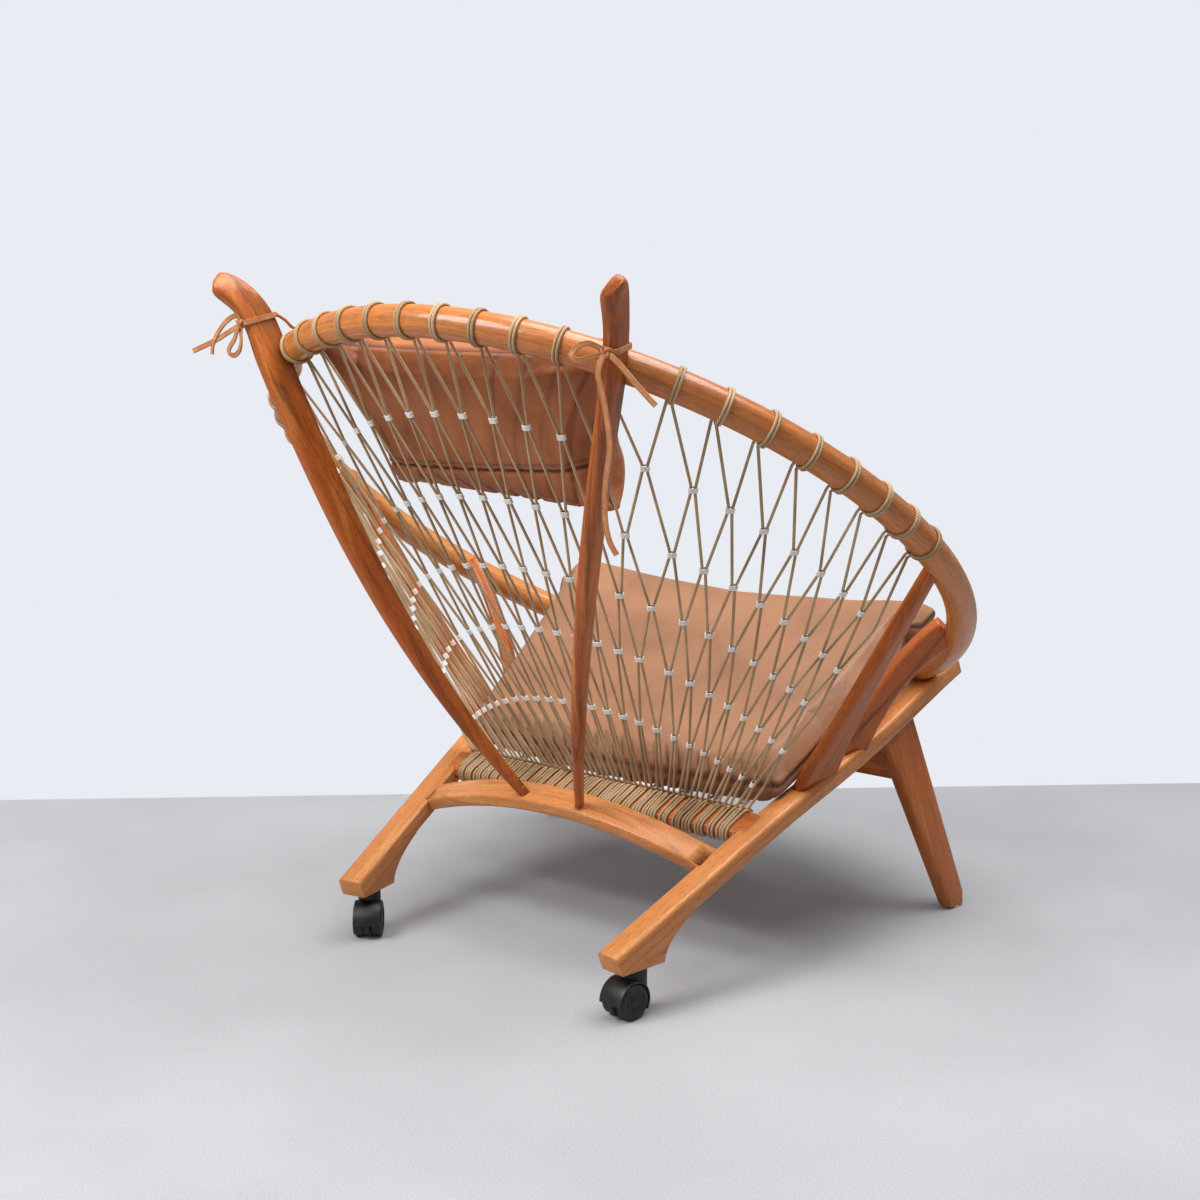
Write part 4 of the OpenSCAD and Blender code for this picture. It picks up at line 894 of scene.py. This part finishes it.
def pillow(name, form, us, vs, material, body, node):
    """A closed cushion: form(u, v, side) gives its upper (1) and lower (-1) face; its seam's line."""
    u, v = np.meshgrid(us, vs)
    rows, columns = u.shape
    upper, lower = form(u, v, 1.0), form(u, v, -1.0)
    up_id = np.arange(rows * columns).reshape(rows, columns)
    low_id = up_id.copy()
    inside = np.zeros((rows, columns), bool)
    inside[1:-1, 1:-1] = True
    low_id[inside] = rows * columns + np.arange(inside.sum())
    points = np.concatenate([upper.reshape(-1, 3), lower[inside]])
    faces = []
    for ids in (up_id, low_id[:, ::-1]):
        corners = (ids[:-1, :-1], ids[:-1, 1:], ids[1:, 1:], ids[1:, :-1])
        faces += np.stack(corners, axis=-1).reshape(-1, 4).tolist()
    mesh = new_mesh(name, points, faces)
    bm = bmesh.new()
    bm.from_mesh(mesh)
    bmesh.ops.recalc_face_normals(bm, faces=bm.faces)
    bm.to_mesh(mesh)
    bm.free()
    mesh.update()
    piece = link(name, mesh, material, body, [node])
    ring = list(up_id[0]) + list(up_id[1:, -1]) + list(up_id[-1, -2::-1]) + list(up_id[-2:0:-1, 0])
    return piece, ring


# The cloth's run, how far a point may move, and how far out where it is held and where it is free
CLOTH_FRAMES = 20
CLOTH_PRESSURE = 4.0
MOVE_MOST = 0.010
OUT_HELD = 0.0005
OUT_FREE = 0.006


def swollen(piece, held):
    """Runs the cloth under pressure; held(normals) says which points lie against something."""
    mod = piece.modifiers.new("skin", "CLOTH")
    cloth = mod.settings
    cloth.quality = 5
    cloth.mass = 0.35
    cloth.use_pressure = True
    cloth.uniform_pressure_force = CLOTH_PRESSURE
    cloth.tension_stiffness = cloth.compression_stiffness = 18
    cloth.shear_stiffness = 8
    cloth.bending_stiffness = 0.6
    cloth.effector_weights.gravity = 0
    mod.collision_settings.use_self_collision = False
    start, normals = read(piece.data, "co"), read(piece.data, "normal")
    for f in range(1, CLOTH_FRAMES + 1):
        scene.frame_set(f)
    depsgraph = bpy.context.evaluated_depsgraph_get()
    end = read(piece.evaluated_get(depsgraph).data, "co")
    piece.modifiers.clear()
    scene.frame_set(1)
    moved = end - start
    length = np.linalg.norm(moved, axis=1, keepdims=True)
    moved *= np.minimum(1, MOVE_MOST / np.maximum(length, 1e-9))
    outward = np.sum(moved * normals, axis=1)
    excess = np.maximum(outward - np.where(held(normals), OUT_HELD, OUT_FREE), 0)
    put_coords(piece.data, start + moved - normals * excess[:, None])


def finer(piece):
    more = piece.modifiers.new("finer", "SUBSURF")
    more.levels = 1
    return applied(piece)


def distance_to(co, line):
    """Each point's distance to a closed line, which is filled in finely first."""
    dense = [mix(a, b, k / 4) for a, b in zip(line, np.roll(line, -1, 0)) for k in range(4)]
    tree = KDTree(len(dense))
    for k, p in enumerate(dense):
        tree.insert(p, k)
    tree.balance()
    return np.array([tree.find(p)[2] for p in co])


def bell(d, width):
    return np.exp(-(d / width) ** 2)


def seamed(piece, ring, lip):
    """A finer mesh with its seam: mesh, places, normals, how deep each lies, and its crease, painted
    shade along the seam.
    """
    seam = read(piece.data, "co")[ring]
    mesh = finer(piece)
    co, no = read(mesh, "co"), read(mesh, "normal")
    d = distance_to(co, seam)
    return mesh, co, no, 0.0030 * bell(d, 0.003) - lip * bell(d - 0.007, 0.004), bell(d, 0.004)


def pressed(mesh, co, no, depth, crease):
    """Moves each point in by its depth, and stores its crease, the painted shade of folds and seams, for
    the leather's colour.
    """
    put_coords(mesh, co - no * depth[:, None])
    layer = mesh.attributes.new("crease", "FLOAT", "POINT")
    layer.data.foreach_set("value", np.clip(crease, 0, 1).astype(np.float32))
    mesh.shade_smooth()


def ripple(phase, sharp=0.35):
    """Rounded lobes with narrow creases between them: 0 on a lobe, 1 in a crease."""
    return np.clip(1 - np.abs(np.sin(np.pi * phase)) / sharp, 0, 1) ** 1.5


def hashed(values, seed):
    """A steady pseudo-random number from -1 to 1 for each whole number."""
    return 2 * ((np.sin(values * 12.9898 + seed * 78.233) * 43758.5453) % 1.0) - 1


# Seat cushion: half its rear and front widths, length, thickness and form
PAD_REAR = 0.300
PAD_FRONT = 0.372
PAD_L = 0.408
PAD_T = 0.092
PAD_Y = 0.014
PAD_RISE = 0.58
PAD_ROUND = 0.16
PAD_HOLLOW = 0.030
PAD_REAR_FULL = 3.0
PAD_REAR_LOW_FULL = 5.0
SIDE_PULL = 0.045
PAD_CORNER_LIFT = 0.018
PAD_REAR_SPREAD = 0.014
PAD_REAR_SAG = 0.008
SEAT_FOOT_Y = 0.0164
SEAT_FOOT_Z = 0.2165
NET_SLOPE_MIDDLE = 0.211
NET_SLOPE_SIDE = 0.42
CROWN = 0.08


def smooth_step(q):
    c = np.clip(q, 0, 1)
    return c * c * (3 - 2 * c)


def crowned(u, v):
    return 1 - CROWN + CROWN * (1 - u * u) * (1 - v * v)


def net_height(x, y):
    """The seat net's height; its cords fan out from the seat back rail to the hoop's front."""
    back = SEAT_FOOT_Y - y
    u = x / (0.262 + 0.15 * back)
    return SEAT_FOOT_Z + back * (NET_SLOPE_MIDDLE + (NET_SLOPE_SIDE - NET_SLOPE_MIDDLE) * u * u)


def bar_height(x, y):
    """The top of the hoop's bar where the cushion passes over it, and far below elsewhere."""
    near = smooth_step((np.hypot(x, y / math.cos(HOOP_TILT)) - HOOP_R + 0.095) / 0.065)
    lift = (HOOP_BAR / 2 + 0.0014) / math.cos(HOOP_TILT)
    return HOOP_H + y * math.tan(HOOP_TILT) + lift - (1 - near)


def seat_form(u, v, side):
    half = mix(PAD_REAR, PAD_FRONT, ((v + 1) / 2) ** 0.8) * np.sqrt(1 - PAD_ROUND * v * v)
    x = u * half / math.sqrt(1 - PAD_ROUND / 2) * (1 - SIDE_PULL * (1 - v * v))
    y = PAD_Y - PAD_L / 2 - v * PAD_L / 2 * np.sqrt(1 - PAD_ROUND * u * u)
    top = (SEAT_FOOT_Z + PAD_T + PAD_RISE * (PAD_Y - PAD_T / 2 - y)
           - PAD_HOLLOW * ((PAD_Y - y) / PAD_L) ** 2 * (1 - (x / PAD_FRONT) ** 2))
    top = top + PAD_CORNER_LIFT * u * u * smooth_step((v + 0.3) / 1.3)
    rear = np.clip((-0.45 - v) / 0.55, 0, 1)
    low = np.maximum(np.maximum(net_height(x, y) + 0.003, bar_height(x, y)), top - 0.98 * PAD_T)
    low = low - PAD_REAR_SAG * rear
    power = np.where(v < 0, PAD_REAR_FULL if side > 0 else PAD_REAR_LOW_FULL, 2.0)
    full = border(u, PAD_T / 2 / PAD_FRONT) * border(v, PAD_T / PAD_L, power) * crowned(u, v)
    z = (top + low) / 2 + side * (top - low) / 2 * full
    return np.stack([x + PAD_REAR_SPREAD * u * rear, y, z], axis=-1)


def seat_cushion():
    piece, ring = pillow("seat_pad", seat_form, rim_places(116, PAD_T / 2 / PAD_FRONT),
                         rim_places(58, PAD_T / PAD_L), SEAT_LEATHER, "cushion", "seat_cushion")
    swollen(piece, lambda n: n[:, 2] < 0.3)
    mesh, co, no, depth, crease = seamed(piece, ring, 0.0012)
    # Puckers down the rear edge, where the back net's cords press in; their creases and a band low on
    # the rear get painted shade
    rear = np.clip((co[:, 1] - (PAD_Y - 0.058)) / 0.045, 0, 1) * np.clip((0.300 - co[:, 2]) / 0.03, 0, 1)
    # Painted shade: the lower rear is darkened as if it lay in the cushion's own shadow
    shaded = rear * np.clip((0.262 - co[:, 2]) / 0.035, 0, 1)
    phase = co[:, 0] / 0.0195 + 0.35 * np.sin(co[:, 2] * 55) + 0.2 * np.sin(co[:, 0] * 37)
    strength = 0.65 + 0.35 * hashed(np.floor(phase), 3)
    fold = ripple(phase, 0.6) * rear * strength
    depth += 0.009 * fold - 0.002 * rear * (1 - fold)
    crease = np.maximum(crease, np.maximum(fold, 0.45 * shaded))
    # Slow unevenness of the filling
    swell = np.sin(co[:, 0] * 17 + 1.3) * np.sin(co[:, 1] * 14 + 0.4)
    swell += 0.6 * np.sin(co[:, 0] * 31 - co[:, 1] * 23)
    depth += 0.0012 * (1 + swell) * np.clip(no[:, 2], 0, 1)
    pressed(mesh, co, no, depth, crease)


# Neck cushion: its middle, width, height, thickness and form
NECK_MID = vec(0, 0.301947, 0.791972)
NECK_W = 0.560
NECK_H = 0.250
NECK_T = 0.110
NECK_LEAN = math.radians(24.013)
NECK_TAPER = 0.26
NECK_ROUND = 0.08
NECK_SIDE_PULL = 0.12
NECK_NEAR_PULL = 0.05
NECK_LOW_PULL = 0.4
NECK_REAR_SHARE = 0.22
NECK_TILT = 0.010
FLAP_AT = -0.060
FLAP_SLOPE = 0.045
NECK_UP = vec(0, math.sin(NECK_LEAN), math.cos(NECK_LEAN))
NECK_OUT = vec(0, -math.cos(NECK_LEAN), math.sin(NECK_LEAN))


def neck_form(u, v, side):
    w = (NECK_W / 2 * (1 - NECK_TAPER * (1 - v) / 2) * np.sqrt(1 - NECK_ROUND * v * v)
         * (1 - (NECK_SIDE_PULL - NECK_NEAR_PULL * u) * (1 - v * v) * (1 - NECK_LOW_PULL * v)))
    h = NECK_H / 2 * np.sqrt(1 - NECK_ROUND * u * u) * (1 - SIDE_PULL * (1 - u * u))
    t = 1 - NECK_REAR_SHARE if side > 0 else -NECK_REAR_SHARE
    full = border(u, NECK_T / NECK_W) * border(v, NECK_T / NECK_H) * crowned(u, v)
    rise = v * h + NECK_TILT * u * (1 - v) / 2
    return (NECK_MID + (u * w)[..., None] * vec(1, 0, 0) + rise[..., None] * NECK_UP
            + (t * NECK_T * full)[..., None] * NECK_OUT)


def neck_cushion():
    piece, ring = pillow("neck_pad", neck_form, rim_places(76, NECK_T / NECK_W),
                         rim_places(26, NECK_T / NECK_H), NECK_LEATHER, "frame", "neck_cushion")
    swollen(piece, lambda n: n @ NECK_OUT < 0.2)
    mesh, co, no, depth, crease = seamed(piece, ring, 0.0010)
    rear = np.clip(-(no @ NECK_OUT) * 1.6, 0, 1)
    rel = co - NECK_MID
    v, x = rel @ NECK_UP, rel[:, 0]
    # The opening's flap: two stitched folds along the lower part of the rear face, with painted shade in
    # them
    flap = v - (FLAP_AT + 0.010 * (x / 0.28) ** 2 - FLAP_SLOPE * x)
    depth += rear * (0.0055 * bell(flap, 0.003) + 0.002 * bell(flap - 0.0095, 0.0022)
                     - 0.0018 * np.clip(flap / 0.02, 0, 1) * np.clip(1 - flap / 0.03, 0, 1))
    crease = np.maximum(crease, rear * np.maximum(bell(flap, 0.003), 0.6 * bell(flap - 0.0095, 0.002)))
    # Upright folds between the cords, deepest near both edges, with painted shade in them
    spread = x / (1 + 0.55 * v / 0.25)
    phase = spread / 0.046 + 0.25 * np.sin(v * 26 + x * 9)
    ends = 0.35 + 0.65 * np.abs(v / 0.115) ** 1.5
    fold = ripple(phase, 0.6) * rear * np.clip(ends, 0, 1.1) * (0.7 + 0.3 * hashed(np.floor(phase), 5))
    depth += 0.007 * fold
    crease = np.maximum(crease, 0.75 * fold)
    pressed(mesh, co, no, depth, crease)


seat_cushion()
neck_cushion()

# Laces: a band round each upright, a tie over the hoop, a knot and a bow
STRAP_W = 0.0075
STRAP_T = 0.0022
UPRIGHT_W = 0.050
UPRIGHT_T = 0.021
UPRIGHT_OFF = 0.034
UPRIGHT_AT = 57.3
HORN_H = 0.110
RISE = vec(0.274, 0.204, 0.94)
TURN = math.radians(16)
HORN = ((0, 0, 0), (0.06, 0.04, 0.25), (0.11, 0.085, 0.45), (0.17, 0.17, 0.63), (0.25, 0.29, 0.79),
        (0.34, 0.43, 0.9), (0.395, 0.52, 0.95), (0.42, 0.56, 0.968))
BEHIND = unit(np.cross(hoop_dir(UPRIGHT_AT), RISE))
CROSSING = hoop_at(UPRIGHT_AT) + BEHIND * UPRIGHT_OFF
HINT = vec(math.sin(TURN), math.cos(TURN), 0)
BAND_BACK = UPRIGHT_W / 2 + 0.0003 + STRAP_T / 2
BAND_SIDE = UPRIGHT_T / 2 + 0.0003 + STRAP_T / 2
STRAP_LEVEL = 0.5
TIE_TURN = 0.5
BAND_CORNER = 0.006
BAND_STEPS = 48
KNOT_STEPS = 60
KNOT_R = 0.0022
MM = 0.001
LEFT_BOW = (
    ((-2, 0, 0), (3, 4, 12), (20, 12, 7), (31, 22, -8), (37, 26, -21), (39, 27, -34)),
    ((0, 0, -2), (17, 12, -9), (34, 24, -16), (64, 45, -24)),
    ((0, 3, -4), (7, 6, -19), (17, 8, -28), (22, 9, -35), (17, 8, -40), (8, 6, -42), (-2, 4, -37),
     (-5, 2, -27), (-2, 0, -14), (0, -1, -5)))
RIGHT_BOW = (
    ((2, 0, -2), (20, 4, -14), (42, 4, -36), (64, 3, -56)),
    ((-2, 0, -1), (-5, 6, -10), (-8, 8, -27), (-3, 8, -45), (5, 8, -87), (7, 8, -117), (2, 7, -152),
     (0, 6, -194), (5, 5, -224), (15, 4, -242)),
    ((-3, 0, 1), (-20, 6, 9), (-34, 9, 4), (-40, 14, -6), (-32, 12, -12), (-16, 7, -7), (-3, 1, -4)))


def horn_at(q):
    heights = [p[2] for p in HORN]
    return CROSSING + vec(np.interp(q, heights, [p[0] for p in HORN]),
                          np.interp(q, heights, [p[1] for p in HORN]), q) * HORN_H


def lace(side, q, bow):
    """The leather lace on one side; the right one is the left one's mirror with its own bow."""
    flip = vec(1 if side == "left" else -1, 1, 1)
    up = unit(mix(unit(horn_at(q + 0.12) - horn_at(q - 0.12)), vec(0, 0, 1), STRAP_LEVEL))
    back = unit(HINT - up * np.dot(HINT, up))
    across = np.cross(back, up)
    knot = horn_at(q) + back * (BAND_BACK + STRAP_T)
    strands = Strands()

    def put(path, hint, closed=False):
        strands.strip([p * flip for p in path], STRAP_W, STRAP_T, lambda t: hint(t * flip) * flip,
                      closed=closed)

    ring = []
    for k in range(BAND_STEPS):
        a = math.tau * k / BAND_STEPS
        s = math.copysign(BAND_SIDE - BAND_CORNER, math.cos(a)) + BAND_CORNER * math.cos(a)
        b = math.copysign(BAND_BACK - BAND_CORNER, math.sin(a)) + BAND_CORNER * math.sin(a)
        ring.append(horn_at(q) + across * s + back * b)
    put(ring, lambda t: up, closed=True)
    for path in bow:
        put(curve([knot + across * x * MM + back * y * MM + vec(0, 0, z * MM) for x, y, z in path]),
            lambda t: np.cross(t, back))
    # The tie to the cushion's corner, over the hoop
    over = hoop_at(UPRIGHT_AT + TIE_TURN)
    off = HOOP_BAR / 2 + STRAP_W / 2 + 0.002
    low, high = span_of("neck_cushion")
    corner_at = vec(high[0] * 0.80, high[1] - 0.004, high[2] - 0.010)
    start = horn_at(q) - across * (BAND_SIDE - 0.001) - back * (BAND_BACK - STRAP_T)
    path = [start, mix(start, over + vec(0, 0, off), 0.5) + vec(0, 0, 0.003),
            over + vec(0, 0, off + 0.003), over + vec(-0.014, -0.9 * off, 0.85 * off),
            corner_at + vec(0.012, 0.008, 0.013), corner_at]
    wide = hoop_dir(UPRIGHT_AT)
    put(curve(path), lambda t: wide)
    # The knot: one flat trefoil of lace
    turns = []
    for k in range(KNOT_STEPS):
        a = math.tau * k / KNOT_STEPS
        x = math.sin(a) + 2 * math.sin(2 * a)
        z = math.cos(a) - 2 * math.cos(2 * a)
        turns.append(knot + across * x * KNOT_R + up * z * 0.0020 - back * math.sin(3 * a) * KNOT_R)
    strands.tube([p * flip for p in turns], KNOT_R, closed=True)
    strands.piece(f"lace_{side}", LACE, [f"neck_strap_{side}"], "strap_leather")


lace("left", 0.5, LEFT_BOW)
lace("right", 0.29, RIGHT_BOW)


# Floor, wall and light
WALL_HEIGHT = 12.0
STAGE_REACH = 30.0
WORLD_LIGHT = 0.42
LAMP_AIM = Vector((0, 0, 0.45))


def stage_plane(name, corners, material):
    mesh = new_mesh(name, corners, [(0, 1, 2, 3)])
    mesh.materials.append(material)
    plane = bpy.data.objects.new(name, mesh)
    scene.collection.objects.link(plane)


def floor_finish():
    f = Finish("floor", Roughness=0.75, Specular_IOR_Level=0.2)
    speckle = f.noise(f.place, 520, 3, 0.7)
    cloud = f.noise(f.place, 2.2)
    value = f.plus(f.times(speckle, 0.75), f.times(cloud, 0.25))
    f.set("Base Color", f.ramp(value, FLOOR_TONES, 0.34, 0.5, 0.66))
    f.set("Normal", f.bump(speckle, 0.0004))
    return f.material


def wall_finish():
    """A pale wall that only the camera sees, and only from the chair's side."""
    f = Finish("wall")
    glow = f.add("ShaderNodeEmission", {"Color": rgb(WALL_COLOUR), "Strength": 1.0}).outputs[0]
    clear = f.add("ShaderNodeBsdfTransparent").outputs[0]
    behind = f.add("ShaderNodeNewGeometry").outputs["Backfacing"]
    camera_ray = f.add("ShaderNodeLightPath").outputs["Is Camera Ray"]
    seen = f.times(camera_ray, f.math("SUBTRACT", 1.0, behind))
    choose = f.add("ShaderNodeMixShader", {0: seen, 1: clear, 2: glow})
    f.put(f.tree.nodes["Material Output"].inputs[0], choose.outputs[0])
    return f.material


def make_stage():
    size = STAGE_REACH
    stage_plane("floor", [(-size, -size, 0), (size, -size, 0), (size, size, 0), (-size, size, 0)],
                floor_finish())
    left, right_end = floor_point(WALL_FOOT_LEFT), floor_point(WALL_FOOT_RIGHT)
    along = unit(right_end - left) * size
    rise = vec(0, 0, WALL_HEIGHT)
    stage_plane("wall", [left - along, right_end + along, right_end + along + rise, left - along + rise],
                wall_finish())


def make_world():
    """Even light all round, and the wall's colour wherever the camera looks past the wall."""
    scene.world = bpy.data.worlds.new("world")
    nodes = Nodes(scene.world)
    light = nodes.tree.nodes["Background"]
    nodes.put(light.inputs[0], rgb(LIGHT_COLOUR))
    nodes.put(light.inputs[1], WORLD_LIGHT)
    shown = nodes.add("ShaderNodeBackground", {0: rgb(WALL_COLOUR)})
    rays = nodes.add("ShaderNodeLightPath").outputs
    seen = nodes.math("MAXIMUM", rays["Is Camera Ray"], rays["Is Transmission Ray"])
    choose = nodes.add("ShaderNodeMixShader", {0: seen, 1: light.outputs[0], 2: shown.outputs[0]})
    nodes.put(nodes.tree.nodes["World Output"].inputs[0], choose.outputs[0])


def add_lamp(name, to_right, to_camera, height, size, power):
    """A round white lamp, placed from the middle of the floor as the photograph's camera sees it."""
    look, right, _ = camera_axes()
    at = Vector(right * to_right - unit(look * vec(1, 1, 0)) * to_camera + vec(0, 0, height))
    data = bpy.data.lights.new(name, "AREA")
    data.shape = "DISK"
    data.size = size
    data.energy = power
    lamp = bpy.data.objects.new(name, data)
    lamp.location = at
    lamp.rotation_mode = "QUATERNION"
    lamp.rotation_quaternion = (LAMP_AIM - at).to_track_quat("-Z", "Y")
    scene.collection.objects.link(lamp)


make_stage()
make_world()
add_lamp("key", -2.0, 1.3, 2.5, 1.6, 80)
add_lamp("top", 0.4, 0.2, 2.7, 2.0, 78)

scene.view_settings.view_transform = "Standard"

low, high = cad_box
